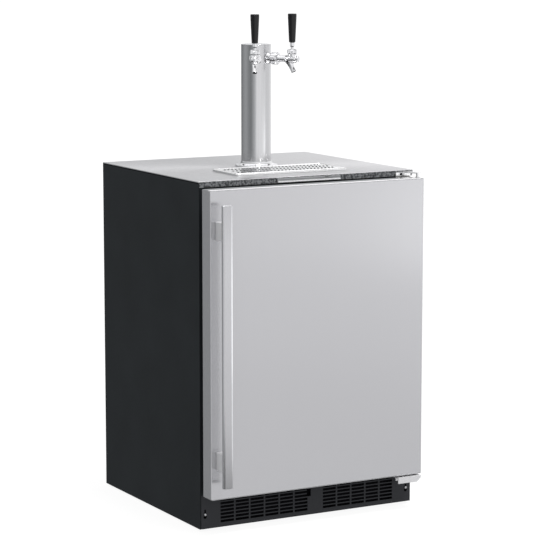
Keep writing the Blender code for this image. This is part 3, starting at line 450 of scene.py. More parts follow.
PAINT = {
    "black": enamelled("paint_black", (0.0112, 0.0133, 0.0150), 0.42, 900, 0.04 * MM),
    "trim": moulded("paint_trim", (0.026, 0.027, 0.030), 0.5, 1500, 0.04 * MM, 0.12),
    "strip": speckled("paint_strip", (0.04, 0.043, 0.046), (0.21, 0.217, 0.225), 0.45),
    "steel": brushed("paint_steel", (0.555, 0.552, 0.562), 0.3, ACROSS_GRAIN, 0.015),
    "tube": brushed("paint_tube", (0.63, 0.63, 0.64), 0.2, UP_GRAIN, 0.05),
    "door": brushed("paint_door", (0.492, 0.492, 0.506), 0.25, UP_GRAIN, 0.005, 0.006, 0.78),
    "handle": brushed("paint_handle", (0.51, 0.51, 0.525), 0.22, UP_GRAIN, 0.005, 0.006, 0.8),
    "chrome": polished("paint_chrome", (0.82, 0.82, 0.83), 0.07),
    "bright": polished("paint_bright", (0.86, 0.86, 0.86), 0.2),
    "zinc": polished("paint_zinc", (0.55, 0.55, 0.56), 0.3),
    "galvanised": brushed("paint_galvanised", (0.42, 0.43, 0.44), 0.45, (1, 1, 1), 0.12),
    "fins": brushed("paint_fins", (0.6, 0.61, 0.62), 0.4, UP_GRAIN, 0.1),
    "bezel": moulded("paint_bezel", (0.24, 0.245, 0.25), 0.32, 1800, 0.02 * MM),
    # A light strip whose glow is painted light, for the light caught between the handle and the door.
    "backing": glowing("paint_backing", (0.8, 0.8, 0.81), 0.35),
    "bezel_light": polished("paint_bezel_light", (0.85, 0.85, 0.86), 0.18),
    # Near-black for the pieces that are painted shade.
    "dark": moulded("paint_dark", (0.004, 0.004, 0.005), 0.8, 1200, 0.03 * MM, 0.05),
    "cast": satin("paint_cast", (0.64, 0.64, 0.65), 0.42),
    # White strip on the door's top front edge: a painted highlight.
    "white_cap": moulded("paint_white_cap", (0.72, 0.72, 0.73), 0.4),
    "grey_cap": moulded("paint_grey_cap", (0.2, 0.205, 0.21), 0.5),
    "liner": moulded("paint_liner", (0.6, 0.61, 0.62), 0.35, 600, 0.05 * MM),
    "foam": foamed(),
    "rubber": moulded("paint_rubber", (0.012, 0.012, 0.013), 0.65, 900, 0.05 * MM, 0.3),
    "hose": moulded("paint_hose", (0.62, 0.64, 0.65), 0.25, 400),
    "gloss_black": moulded("paint_gloss_black", (0.009, 0.009, 0.010), 0.16, 2500, 0.004 * MM, 0.3),
}


# ---------------------------------------------------------------- camera, light and floor

CAMERA_LENS = 150.99
CAMERA_SENSOR = 36
CAMERA_DIP = math.radians(8.376)
CAMERA_TURN = math.radians(28.79)
CAMERA_AT = (-2.7535, -5.0411, 1.4449)


def camera():
    """The camera, which looks slightly down at the object's front left."""
    data = bpy.data.cameras.new("camera")
    data.lens = CAMERA_LENS
    data.sensor_width = CAMERA_SENSOR
    data.clip_end = 400
    made = bpy.data.objects.new("camera", data)
    made.location = CAMERA_AT
    made.rotation_euler = (math.pi / 2 - CAMERA_DIP, 0, -CAMERA_TURN)
    bpy.context.scene.collection.objects.link(made)
    bpy.context.scene.camera = made


# The world's strength from right (-1) to left (1) as the camera sees it, and from below (-1) to
# above (1). The two multiply.
WALL_STOPS = (
    (-1.0, 0.90),
    (-0.80, 0.97),
    (-0.42, 1.04),
    (-0.06, 1.10),
    (0.05, 0.67),
    (0.36, 0.46),
    (0.64, 0.24),
    (0.80, 0.27),
    (1.0, 0.44),
)
HEIGHT_STOPS = (
    (-1.0, 0.5),
    (-0.84, 0.4),
    (-0.76, 0.05),
    (-0.44, 0.04),
    (-0.34, 0.95),
    (-0.28, 1.0),
    (0.5, 1.0),
    (0.56, 0.15),
    (0.64, 0.15),
    (0.7, 1.25),
    (1.0, 1.3),
)
CEILING_FROM, CEILING_TO = 0.2, 0.42
SHADE_TINT = (0.93, 0.975, 1.0)
STUDIO_TINT = (0.99, 0.99, 1.0)

SUN_STRENGTH = 2.6
SUN_SPREAD = math.radians(16)
SUN_LEAN = (math.radians(11), math.radians(9), 0)

# Each softbox: name, one upright edge's middle, the other's, height and radiance.
SOFTBOXES = (
    ("side_softbox", (1.0, -1.6, 0.6), (1.35, -1.1, 0.6), 0.4, 0.42),
    ("edge_softbox", (1.15, -1.1, 0.34), (1.5, -0.3, 0.34), 0.64, 0.6),
    ("front_softbox_wide", (0.35, -2.35, 0.4), (1.75, -1.75, 0.4), 0.75, 0.10),
    ("front_softbox_high", (0.75, -2.25, 0.62), (1.75, -1.75, 0.62), 0.45, 0.16),
)
# The same, and the starts of the names of the only pieces that it lights.
ACCENTS = (
    ("tap_softbox", (-0.75, 0.75, 1.45), (-1.05, -0.75, 1.45), 0.8, 0.4, TAP_PIECES),
    ("handle_softbox", (0.8, -0.95, 0.28), (1.05, -0.4, 0.28), 1.2, 0.75, ("handle_rail",)),
    ("bracket_softbox", (-0.7, -0.9, 1.5), (0.1, -0.9, 1.5), 0.6, 0.6, ("handle_bracket", "handle_end")),
)

FLOOR_REACH = 120
FLOOR_GREY = (0.1, 0.1, 0.1)
FLOOR_GLOW = 0.92


def ramp(tree, source, stops):
    """A grey value that follows (position, value) stops, with positions from -1 to 1."""
    place = tree.nodes.new("ShaderNodeMapRange")
    place.inputs["From Min"].default_value = -1
    tree.links.new(source, place.inputs["Value"])
    curve = tree.nodes.new("ShaderNodeFloatCurve")
    points = curve.mapping.curves[0].points
    highest = max(value for _, value in stops)
    for number, (position, value) in enumerate(stops):
        where = ((position + 1) / 2, value / highest)
        if number < 2:
            points[number].location = where
        else:
            points.new(*where)
    for point in points:
        point.handle_type = "VECTOR"
    curve.mapping.update()
    tree.links.new(place.outputs["Result"], curve.inputs["Value"])
    return product(tree, curve.outputs["Value"], highest)


def product(tree, first, second):
    """Two values multiplied. The second is a number or a node's output."""
    times = tree.nodes.new("ShaderNodeMath")
    times.operation = "MULTIPLY"
    tree.links.new(first, times.inputs[0])
    if isinstance(second, (int, float)):
        times.inputs[1].default_value = second
    else:
        tree.links.new(second, times.inputs[1])
    return times.outputs["Value"]


def along(tree, direction):
    """How far the world's own direction points along another, from -1 to 1."""
    place = tree.nodes.new("ShaderNodeTexCoord")
    towards = tree.nodes.new("ShaderNodeVectorMath")
    towards.operation = "DOT_PRODUCT"
    towards.inputs[1].default_value = direction
    tree.links.new(place.outputs["Generated"], towards.inputs[0])
    return towards.outputs["Value"]


def softbox(name, near, far, high, radiance):
    """An upright area light between two points, facing the object and hidden from the camera."""
    near, far = Vector(near), Vector(far)
    soft = bpy.data.lights.new(name, "AREA")
    soft.shape = "RECTANGLE"
    soft.size = (far - near).length
    soft.size_y = high
    soft.energy = radiance * math.pi * soft.size * soft.size_y
    lamp = bpy.data.objects.new(name, soft)
    up = Vector((0, 0, 1))
    run = (far - near).normalized()
    axes = Matrix((run, up, run.cross(up))).transposed().to_4x4()
    lamp.matrix_world = Matrix.Translation((near + far) / 2) @ axes
    lamp.visible_camera = False
    bpy.context.scene.collection.objects.link(lamp)
    return lamp


def accents():
    """Softboxes that each light only some pieces. They are made after those pieces."""
    for name, near, far, high, radiance, starts in ACCENTS:
        lamp = softbox(name, near, far, high, radiance)
        lit = bpy.data.collections.new(f"lit_by_{name}")
        for piece in bpy.data.objects:
            if piece.name.startswith(starts):
                lit.objects.link(piece)
        lamp.light_linking.receiver_collection = lit


def studio():
    """A white studio with a grey wing on the object's left and dark bands that the chrome shows."""
    world = bpy.data.worlds.new("studio")
    bpy.context.scene.world = world
    world.use_nodes = True
    tree = world.node_tree
    back = tree.nodes["Background"]
    left = (-math.cos(CAMERA_TURN), math.sin(CAMERA_TURN), 0)
    wall = ramp(tree, along(tree, left), WALL_STOPS)
    height = along(tree, (0, 0, 1))
    band = ramp(tree, height, HEIGHT_STOPS)
    ceiling = spread(tree, height, 0, 1, CEILING_FROM, CEILING_TO)
    mix = tree.nodes.new("ShaderNodeMix")
    mix.inputs["B"].default_value = 1
    tree.links.new(wall, mix.inputs["A"])
    tree.links.new(ceiling, mix.inputs["Factor"])
    tree.links.new(product(tree, mix.outputs["Result"], band), back.inputs["Strength"])
    tint = tree.nodes.new("ShaderNodeMix")
    tint.data_type = "RGBA"
    tint.inputs["A"].default_value = (*SHADE_TINT, 1)
    tint.inputs["B"].default_value = (*STUDIO_TINT, 1)
    tree.links.new(mix.outputs["Result"], tint.inputs["Factor"])
    tree.links.new(tint.outputs["Result"], back.inputs["Color"])

    sun = bpy.data.lights.new("overhead", "SUN")
    sun.energy = SUN_STRENGTH
    sun.angle = SUN_SPREAD
    lamp = bpy.data.objects.new("overhead", sun)
    lamp.rotation_euler = SUN_LEAN
    bpy.context.scene.collection.objects.link(lamp)
    for entry in SOFTBOXES:
        softbox(*entry)


def floor():
    """A glowing white floor that takes little shadow and isn't seen in the metal."""
    bm = bmesh.new()
    corners = ((-1, -1), (1, -1), (1, 1), (-1, 1))
    bm.faces.new([bm.verts.new((x * FLOOR_REACH, y * FLOOR_REACH, 0)) for x, y in corners])
    made = linked("floor", mesh_of("floor", bm, False))
    paint, _, core = shader("paint_floor", FLOOR_GREY, 0.0, 0.9)
    core.inputs["Specular IOR Level"].default_value = 0.0
    core.inputs["Emission Color"].default_value = (1, 1, 1, 1)
    core.inputs["Emission Strength"].default_value = FLOOR_GLOW
    made.data.materials.append(paint)
    made.visible_glossy = False


# ---------------------------------------------------------------- tower

TOWER_STEPS = 128
TUBE_WALL = 1.5 * MM
CAP_GAP = 0.3 * MM
CAP_RIM = 1.1 * MM
FLANGE_EDGE = 2.4 * MM
FLANGE_COVE = 6 * MM


def tower():
    """The tube, its lid and the chromed flange at its foot."""
    place = Matrix.Translation(TOWER_AXIS)
    low, high = COLUMN_LOW.z, COLUMN_HIGH.z
    bore = COLUMN_R - TUBE_WALL
    profile = [(bore, low), (COLUMN_R, low), (COLUMN_R, high), (bore, high)]
    tube = turned("tower_tube", profile, place, TOWER_STEPS)
    show(tube, "cabinet", "steel", PAINT["tube"], "tower_column")

    plug_r = COLUMN_R - 1.8 * MM
    base = high + CAP_GAP
    profile = [(0, CAP_LOW.z), (plug_r, CAP_LOW.z), (plug_r, base), (COLUMN_R, base)]
    profile += arc((COLUMN_R - CAP_RIM, CAP_HIGH.z - CAP_RIM - 0.2 * MM), CAP_RIM, 0, 80, 5)
    profile += [(COLUMN_R - 8 * MM, CAP_HIGH.z - 0.05 * MM), (0, CAP_HIGH.z)]
    lid = turned("tower_lid", profile, place, TOWER_STEPS)
    show(lid, "cabinet", "steel", PAINT["tube"], "tower_cap")

    low, high = FLANGE_LOW.z, FLANGE_HIGH.z
    outer = (FLANGE_HIGH.x - FLANGE_LOW.x) / 2
    bore = COLUMN_R + 0.25 * MM
    profile = [(bore, low), (outer, low), (outer, low + 2.2 * MM)]
    profile += arc((outer - FLANGE_EDGE, low + 2.6 * MM), FLANGE_EDGE, 10, 90, 5)
    profile += [(outer - 7 * MM, low + 5.3 * MM)]
    cove_at = (bore + 1.4 * MM + FLANGE_COVE, low + 5.6 * MM + FLANGE_COVE)
    profile += arc(cove_at, FLANGE_COVE, 262, 182, 8)
    profile += [(bore + 1.2 * MM, high - 0.8 * MM), (bore + 0.6 * MM, high), (bore, high)]
    flange = turned("tower_base", profile, place, TOWER_STEPS)
    show(flange, "cabinet", "chrome", PAINT["chrome"], "tower_flange")


# ---------------------------------------------------------------- faucets

COLLAR_R = 12.4 * MM
POST_REACH = 60 * MM
NUT_R = 15.7 * MM
NUT_START, NUT_END = 49.4 * MM, 65.6 * MM
BARREL_START = 62.2 * MM
BONNET_R = 12.7 * MM
BALL_R = 7.0 * MM
GRIP_FOOT_R, GRIP_HEAD_R = 8.3 * MM, 11.2 * MM
GRIP_START, GRIP_END = 27.5 * MM, 99.7 * MM
SPOUT_LEAN = math.radians(28)
SPOUT_MOUTH_OUT, SPOUT_MOUTH_DOWN = 112 * MM, 32.4 * MM
CAST_VOXEL, CAST_ROUNDS = 0.7 * MM, 12


def along_shank(side):
    """From a faucet's own frame, +Z outwards along the shank, to the row frame."""
    centre = Vector((TOWER_AXIS.x, TOWER_AXIS.y, SHANK_Z))
    out = Vector((math.cos(FAUCET_TURN[side]), math.sin(FAUCET_TURN[side]), 0))
    up = Vector((0, 0, 1))
    across = up.cross(out)
    axes = Matrix((across, up, out)).transposed().to_4x4()
    return Matrix.Translation(centre) @ axes


def upright(side):
    """From a faucet's upright frame, on the lever's line at the shank's height, +X outwards."""
    centre = Vector((TOWER_AXIS.x, TOWER_AXIS.y, SHANK_Z))
    turn = Matrix.Rotation(FAUCET_TURN[side], 4, "Z")
    return Matrix.Translation(centre) @ turn @ Matrix.Translation((LEVER_OUT, 0, 0))


def notched(count, depth, low, high, share):
    """A wave with square-shouldered notches between two heights. share is their part of a turn."""

    def wave(radius, height, angle):
        if not low <= height <= high:
            return radius
        phase = math.cos(count * angle)
        bite = min(1, max(0, (phase - 1 + 2 * share) * 3))
        return radius - depth * bite

    return wave


def faucet(side):
    """One faucet's fixed pieces, its lever and its tap handle."""
    chrome = PAINT["chrome"]
    place = along_shank(side)
    show(shank_collar(side, place), "cabinet", "chrome", chrome)
    show(coupling_ring(side, place), "cabinet", "chrome", chrome, f"coupling_nut_{side}")
    show(faucet_casting(side, place), "cabinet", "chrome", chrome, f"faucet_body_{side}")
    place = upright(side)
    body = f"lever_{side}"
    show(bonnet_ring(side, place), "cabinet", "chrome", chrome, f"bonnet_{side}")
    show(lever_stem(side, place), body, "chrome", chrome, f"lever_{side}")
    show(tap_grip(side, place), body, "gloss_black", PAINT["gloss_black"], f"tap_handle_{side}")


def shank_collar(side, place):
    """The collar against the tower, cut to the tower's curve, and the neck behind the nut."""
    profile = [(0, 28 * MM), (COLLAR_R + 2.4 * MM, 28 * MM), (COLLAR_R + 1.8 * MM, 38.5 * MM)]
    profile += [(COLLAR_R + 0.3 * MM, 41 * MM), (COLLAR_R, 42.2 * MM), (COLLAR_R, 47.2 * MM)]
    profile += arc((COLLAR_R - 1.2 * MM, 47.4 * MM), 1.2 * MM, 0, 90, 4)
    profile += in_mm((7.9, 48.6), (7.9, 56.4), (0, 56.4))
    collar = turned(f"shank_collar_{side}", profile, place, 64)
    post_r = COLUMN_R - 1 * MM
    post = [(0, SHANK_Z - POST_REACH), (post_r, SHANK_Z - POST_REACH)]
    post += [(post_r, SHANK_Z + POST_REACH), (0, SHANK_Z + POST_REACH)]
    cutter = turned("post_cutter", post, Matrix.Translation(TOWER_AXIS), 96)
    return join_solid(collar, "DIFFERENCE", cutter)


def coupling_ring(side, place):
    """The coupling nut, with six notches for its spanner."""
    profile = [(8.9 * MM, NUT_START), (NUT_R - 2 * MM, NUT_START)]
    profile += arc((NUT_R - 1.4 * MM, 50.9 * MM), 1.4 * MM, -70, 0, 4)
    profile += [(NUT_R, height * MM) for height in (52.6, 52.7, 60, 60.1)]
    profile += arc((NUT_R - 2.6 * MM, 63 * MM), 2.6 * MM, 0, 80, 5)
    profile += [(8.9 * MM, NUT_END)]
    wave = notched(6, 2.4 * MM, 52.65 * MM, 60.05 * MM, 0.32)
    return turned(f"coupling_ring_{side}", profile, place, 144, wave)


def bonnet_ring(side, place):
    """The bonnet, with twelve notches for the fingers."""
    profile = in_mm((9.2, 13.3), (11.8, 13.3), (12.2, 14.4))
    profile += [(BONNET_R, 14.8 * MM), (BONNET_R, 21.2 * MM)]
    profile += in_mm((12.3, 21.8), (11.4, 23.2), (10.9, 24.6), (10.5, 24.4), (9.2, 19))
    wave = notched(12, 1.2 * MM, 14.6 * MM, 21.4 * MM, 0.4)
    return turned(f"bonnet_ring_{side}", profile, place, 144, wave)


def above_pivot(*points):
    """(radius, height above the lever's pivot) points, given in millimetres."""
    return [(radius * MM, LEVER_Z + height * MM) for radius, height in points]


def lever_stem(side, place):
    """The lever: its tail into the valve shaft, ball, waist, ferrule and the stud for the grip."""
    profile = above_pivot((0, -14.6), (2.3, -14.2), (2.6, -12), (2.6, -6.4))
    profile += arc((0, LEVER_Z), BALL_R, -62, 56, 12)
    profile += above_pivot((3.5, 7.2), (3.4, 9), (3.6, 15.4), (5.2, 16.6), (5.9, 17.6), (6.0, 19))
    profile += above_pivot((6.0, 26.4), (5.4, 27.2), (4, 27.2), (4, 40), (0, 40))
    return turned(f"lever_stem_{side}", profile, place, 48)


def tap_grip(side, place):
    """The tap handle, which widens upwards from its foot."""
    low, high = LEVER_Z + GRIP_START, LEVER_Z + GRIP_END
    foot, head = GRIP_FOOT_R, GRIP_HEAD_R
    profile = [(0, low + 14 * MM), (4.3 * MM, low + 14 * MM), (4.3 * MM, low), (foot - 1 * MM, low)]
    profile += [(foot, low + 1 * MM), (foot, low + 5 * MM), (foot + 0.3 * MM, low + 9 * MM)]
    profile += [(head - 0.2 * MM, high - 12 * MM), (head, high - 6 * MM), (head, high - 2.2 * MM)]
    profile += arc((head - 1.8 * MM, high - 2.1 * MM), 1.8 * MM, 10, 80, 5)
    profile += [(0, high)]
    return turned(f"tap_grip_{side}", profile, place, 64)


def faucet_casting(side, shank_place):
    """Barrel, bonnet socket and spout in one chromed casting with fillets, then bored."""
    barrel = [(0, BARREL_START), (8.4 * MM, BARREL_START)]
    barrel += in_mm((8.3, 82), (8.8, 90), (10.4, 96), (11.2, 101), (11.3, 112), (9.8, 117.4))
    barrel += in_mm((7.2, 119.2), (7.4, 124), (6, 126.2), (0, 126.8))
    body = turned(f"faucet_shell_{side}", barrel, shank_place, 64)
    lever_place = upright(side)
    socket = turned("socket", in_mm((0, 0), (11.0, 0), (11.2, 12.8), (0, 12.8)), lever_place, 48)

    mouth = Vector((SPOUT_MOUTH_OUT - LEVER_OUT, 0, -SPOUT_MOUTH_DOWN))
    down = Vector((math.sin(SPOUT_LEAN), 0, -math.cos(SPOUT_LEAN)))
    length = SPOUT_MOUTH_DOWN / math.cos(SPOUT_LEAN)
    tilt = down.to_track_quat("Z", "Y").to_matrix().to_4x4()
    spout_place = lever_place @ Matrix.Translation(mouth - down * length) @ tilt
    outside = in_mm((0, 0), (9.4, 0), (10.4, 5), (8.4, 12), (7.1, 20), (6.5, 27))
    outside += [(6.5 * MM, length - 2 * MM), (7.0 * MM, length), (0, length)]
    join_solid(body, "UNION", socket, turned("spout", outside, spout_place, 48))
    cast(body, CAST_VOXEL, CAST_ROUNDS)

    # A near-black plug inside the spout's mouth: painted shade in the bore.
    shade = [(0, length - 6 * MM), (5.9 * MM, length - 6 * MM), (5.9 * MM, length - 0.7 * MM)]
    shade += [(4.6 * MM, length - 1.1 * MM), (0, length - 1.4 * MM)]
    show(turned(f"spout_shade_{side}", shade, spout_place, 32), "cabinet", "rubber", PAINT["dark"])

    bore = [(0, 9 * MM), (4.7 * MM, 9 * MM), (4.7 * MM, length - 8 * MM), (6.0 * MM, length - 7 * MM)]
    bore += [(6.0 * MM, length + 5 * MM), (0, length + 5 * MM)]
    lever_well = in_mm((0, -2), (8.6, -2), (8.6, 20), (0, 20))
    shaft_bore = in_mm((0, 50), (4.8, 50), (4.8, 116), (0, 116))
    join_solid(
        body,
        "DIFFERENCE",
        turned("bore", bore, spout_place, 48),
        turned("well", lever_well, lever_place, 48),
        turned("shaft_bore", shaft_bore, shank_place, 48),
    )
    return creased(body, 50)


# ---------------------------------------------------------------- drip tray

RIM_WIDE = 8 * MM
RIM_CORNER = 9 * MM
RIM_STEPS = 8
SHEET = 0.5 * MM
SLOT_COLUMNS, SLOT_ROWS, SLOT_LEAN = 27, 3, 0.55


def drip_tray():
    """The rolled rim, the pan under it and the grille."""
    half_x = (TRAY_HIGH.x - TRAY_LOW.x) / 2
    half_y = (TRAY_HIGH.y - TRAY_LOW.y) / 2
    centre = (TRAY_MID.x, TRAY_MID.y)
    low = TOP_Z + 0.3 * MM
    rise = TRAY_HIGH.z - low
    ledge = GRILLE_LOW.z - 0.3 * MM

    def ring(inset, radius):
        return rounded(half_x - inset, half_y - inset, radius, centre, 6)

    sections = [(ring(14 * MM, 5 * MM), ledge - 1.2 * MM), (ring(13.5 * MM, 6 * MM), low)]
    sections += [(ring(0, RIM_CORNER), low), (ring(0, RIM_CORNER), low + 0.5 * MM)]
    for turn in range(1, RIM_STEPS):
        angle = math.pi * turn / RIM_STEPS
        inset = RIM_WIDE / 2 * (1 - math.cos(angle))
        height = low + 0.6 * MM + (rise - 0.6 * MM) * math.sin(angle) ** 0.9
        sections.append((ring(inset, RIM_CORNER - inset * 0.5), height))
    sections += [(ring(RIM_WIDE, 5 * MM), ledge + 0.6 * MM), (ring(RIM_WIDE + 1 * MM, 5 * MM), ledge)]
    sections += [(ring(14 * MM, 5 * MM), ledge)]
    rim = lofted("drip_tray_rim", sections, closed_ring=True)
    show(rim, "cabinet", "steel", PAINT["bright"], "drip_tray")

    floor_z = TRAY_LOW.z
    pan = [(ring(13.6 * MM, 6 * MM), floor_z), (ring(13.6 * MM, 6 * MM), ledge - 1.4 * MM)]
    pan += [(ring(14.6 * MM, 5 * MM), ledge - 1.4 * MM), (ring(15 * MM, 5 * MM), floor_z + 3 * MM)]
    pan += [(ring(18 * MM, 4 * MM), floor_z + 1 * MM)]
    show(lofted("drip_tray_well", pan), "cabinet", "steel", PAINT["zinc"])

    half_x = (GRILLE_HIGH.x - GRILLE_LOW.x) / 2
    half_y = (GRILLE_HIGH.y - GRILLE_LOW.y) / 2
    plate = perforated(half_x, half_y, GRILLE_HIGH.z - GRILLE_LOW.z)
    plate.location = (GRILLE_MID.x, GRILLE_MID.y, GRILLE_LOW.z)
    show(plate, "drip_grille", "steel", PAINT["bright"], "drip_grille")


def perforated(half_x, half_y, thick):
    """The lift-out grille: staggered leaning slots through thin sheet with a turned-down hem."""

    def ring(inset):
        return rounded(half_x - inset, half_y - inset, 2 * MM - inset, steps=4)

    sections = [(ring(SHEET), thick - SHEET), (ring(SHEET), 0), (ring(0), 0)]
    sections += [(ring(0), thick - 0.5 * MM), (ring(0.6 * MM), thick)]
    plate = lofted("drip_grille_plate", sections, sharp=30)
    join_solid(plate, "DIFFERENCE", slot_cutters(half_x - 10 * MM, half_y - 5 * MM, thick))
    return creased(plate, 30)


def slot_cutters(half_x, half_y, thick):
    """One cutter for all the slots: staggered rows of them, each slot leaning sideways."""
    cell_x, cell_y = 2 * half_x / SLOT_COLUMNS, 2 * half_y / SLOT_ROWS
    slot_x, slot_y = 0.25 * cell_x, 0.37 * cell_y
    shape = rounded(slot_x, slot_y, 0.98 * slot_x, steps=3)
    bm = bmesh.new()
    for column in range(SLOT_COLUMNS):
        for row in range(SLOT_ROWS):
            stagger = 0.75 if row % 2 else 0.25
            middle_x = (column + stagger) * cell_x - half_x
            middle_y = (row + 0.5) * cell_y - half_y
            outline = [(middle_x + x + SLOT_LEAN * y, middle_y + y) for x, y in shape]
            low = [bm.verts.new((x, y, 0.2 * thick)) for x, y in outline]
            high = [bm.verts.new((x, y, 1.2 * thick)) for x, y in outline]
            bridge(bm, low, high)
            bm.faces.new(low)
            bm.faces.new(high)
    return linked("slot_cutters", mesh_of("slot_cutters", bm, False))


# ---------------------------------------------------------------- door and handle

CAP_LIP = 10 * MM
HINGE_HOLE_R = 7 * MM
HINGE_PLATE_THICK = 1.2 * MM


def hinge_hole():
    """A cutter for the hinge's bush, which the door's top pieces leave clear."""
    profile = [(0, 0), (HINGE_HOLE_R, 0), (HINGE_HOLE_R, 1), (0, 1)]
    return turned("hole", profile, Matrix.Translation((PIN.x, PIN.y, 0.5)), 32)


def door():
    """The strips along the door's top, the white front one a painted highlight, its softened panels, its
    handle, hinge plate and hem.
    """
    cap = door_strip("door_top_cap", CAP_LIP, DOOR_HIGH.y - DOOR_LOW.y - 1 * MM, 0.4 * MM)
    join_solid(cap, "DIFFERENCE", hinge_hole())
    show(bevelled(cap, 0.3 * MM, 3), "door", "liner", PAINT["grey_cap"])
    # A white strip along the door's top front edge: painted highlight.
    lip = door_strip("door_top_lip", 0.6 * MM, CAP_LIP, 0.7 * MM)
    show(bevelled(lip, 0.3 * MM, 3), "door", "liner", PAINT["white_cap"])
    softened("door_skin", 0.5 * MM)
    softened("door_inner_panel", 2.0 * MM, 3)
    handle()
    hinge_plate()
    hem = box(
        "door_hem",
        (DOOR_LOW.x + 3 * MM, DOOR_LOW.y + 0.4 * MM, DOOR_LOW.z - 0.5 * MM),
        (DOOR_HIGH.x - 3 * MM, DOOR_LOW.y + 2.2 * MM, DOOR_LOW.z + 0.4 * MM),
    )
    show(bevelled(hem, 0.3 * MM, 2), "door", "door", PAINT["door"])


def door_strip(name, front, rear, rise):
    """A strip along the door's top, between two depths."""
    low = (DOOR_LOW.x + 0.4 * MM, DOOR_LOW.y + front, DOOR_HIGH.z - 0.2 * MM)
    high = (DOOR_HIGH.x - 0.4 * MM, DOOR_LOW.y + rear, DOOR_HIGH.z + rise)
    return box(name, low, high)


def hinge_plate():
    """The plate on the door's top around the hinge's bush, and its two screws."""
    plate_top = DOOR_HIGH.z + HINGE_PLATE_THICK
    outline = rounded(30 * MM, 15.5 * MM, 4 * MM, (PIN.x - 22 * MM, PIN.y), 5)
    plate = lofted("door_hinge_plate", [(outline, DOOR_HIGH.z), (outline, plate_top)], smooth=False)
    join_solid(plate, "DIFFERENCE", hinge_hole())
    show(bevelled(plate, 0.3 * MM, 2), "door", "bright", PAINT["bright"])
    head = in_mm((0, 0), (3.2, 0), (3.1, 0.5), (2.2, 1.1), (0, 1.3))
    for number, offset in enumerate((-42 * MM, -22 * MM)):
        place = Matrix.Translation((PIN.x + offset, PIN.y, plate_top))
        screw = turned(f"door_plate_screw_{number}", head, place, 24)
        show(screw, "door", "zinc", PAINT["zinc"])


BAR_SLOPE_X, BAR_SLOPE_Y = 4.2 * MM, 1.7 * MM
BAR_BACK_R = 2 * MM
BAR_SOFT = 1.4 * MM
BAR_END_STEPS = ((1.0, 0.0), (0.62, 0.08), (0.3, 0.3), (0.08, 0.62), (0, 1.0))


def bar_outline(centre, half_x, half_y):
    """Across the handle bar: shallow chamfers beside the front face and rounded back corners."""
    shoulder = BAR_SLOPE_Y - half_y
    half = [(half_x - BAR_SLOPE_X, -half_y), (half_x - 0.5 * MM, shoulder - 0.2 * MM)]
    half += [(half_x - 0.1 * MM, shoulder + 0.1 * MM), (half_x, shoulder + 0.7 * MM)]
    half += arc((half_x - BAR_BACK_R, half_y - BAR_BACK_R), BAR_BACK_R, 0, 90, 4)
    points = half + [(-x, y) for x, y in reversed(half)]
    return [(centre[0] + x, centre[1] + y) for x, y in points]


def handle():
    """The bar with its softened ends, the bright strip behind it, whose glow is painted light, its
    brackets and end plugs.
    """
    half_x = (BAR_HIGH.x - BAR_LOW.x) / 2
    half_y = (BAR_HIGH.y - BAR_LOW.y) / 2
    centre = (BAR_MID.x, BAR_MID.y)
    sections = []
    for inset, rise in BAR_END_STEPS:
        outline = bar_outline(centre, half_x - inset * BAR_SOFT, half_y - inset * BAR_SOFT)
        sections.append((outline, BAR_LOW.z + rise * BAR_SOFT))
    top = [(outline, BAR_HIGH.z - (height - BAR_LOW.z)) for outline, height in reversed(sections)]
    bar = lofted("handle_rail", sections + top, sharp=16)
    show(bar, "door", "handle", PAINT["handle"], "handle_bar")
    # The strip behind the bar glows: painted light caught between the handle and the door.
    backing = box(
        "handle_backing",
        (BAR_LOW.x + 2.5 * MM, BAR_HIGH.y - 0.1 * MM, BAR_LOW.z + 6 * MM),
        (BAR_HIGH.x - 2.5 * MM, BAR_HIGH.y + 0.15 * MM, BAR_HIGH.z - 6 * MM),
    )
    show(bevelled(backing, 0.1 * MM, 2), "door", "bright", PAINT["backing"])
    outline = rounded(half_x - 1.7 * MM, half_y - 1.7 * MM, 3 * MM, centre, 8)
    for end, low, high in (
        ("bottom", BAR_LOW.z - 0.4 * MM, BAR_LOW.z + 0.1 * MM),
        ("top", BAR_HIGH.z - 0.1 * MM, BAR_HIGH.z + 0.4 * MM),
    ):
        softened(f"handle_bracket_{end}", 1.2 * MM, 4)
        paint_node(f"handle_bracket_{end}", PAINT["cast"])
        plug = lofted(f"handle_end_{end}", [(outline, low), (outline, high)])
        show(bevelled(plug, 0.2 * MM, 2), "door", "handle", PAINT["cast"])


# ---------------------------------------------------------------- front trim, controls and grille

HINGE_SEAT = 2.8 * MM
BEAD_IN = 0.8 * MM
PIN_PITCH = 7 * MM


def front_details():
    """The control panel's lip, a dark plate of painted shade behind the kick grille and the top hinge's
    outer screw.
    """
    lip = box(
        "control_lip",
        (BEZEL_LOW.x + 0.6 * MM, BEZEL_LOW.y - 0.25 * MM, BEZEL_LOW.z + 1.0 * MM),
        (BEZEL_HIGH.x - 0.6 * MM, BEZEL_LOW.y + 0.6 * MM, BEZEL_LOW.z + 4.0 * MM),
    )
    show(bevelled(lip, 0.35 * MM, 3), "cabinet", "bezel", PAINT["bezel_light"])
    paint_node("bottom_hinge_bracket", PAINT["cast"])
    worktop_edges()
    # A near-black plate behind the kick grille: painted shade seen through its slots.
    shade_plate = box(
        "kick_baffle",
        (KICK_LOW.x + 3 * MM, KICK_HIGH.y + 0.4 * MM, KICK_LOW.z + 3 * MM),
        (KICK_HIGH.x - 3 * MM, KICK_HIGH.y + 1.2 * MM, KICK_HIGH.z - 2 * MM),
    )
    show(shade_plate, "cabinet", "trim", PAINT["dark"])
    head = in_mm((0, 0), (3, 0), (3, 0.6), (2.1, 1.3), (0, 1.5))
    seat = Matrix.Translation((PIN.x + 3.5 * MM, TRIM_LOW.y - HINGE_SEAT, TRIM_LOW.z + 2.6 * MM))
    place = seat @ Matrix.Rotation(math.pi / 2, 4, "X")
    screw = turned("top_hinge_screw_outer", head, place, 24)
    show(screw, "cabinet", "zinc", PAINT["zinc"])


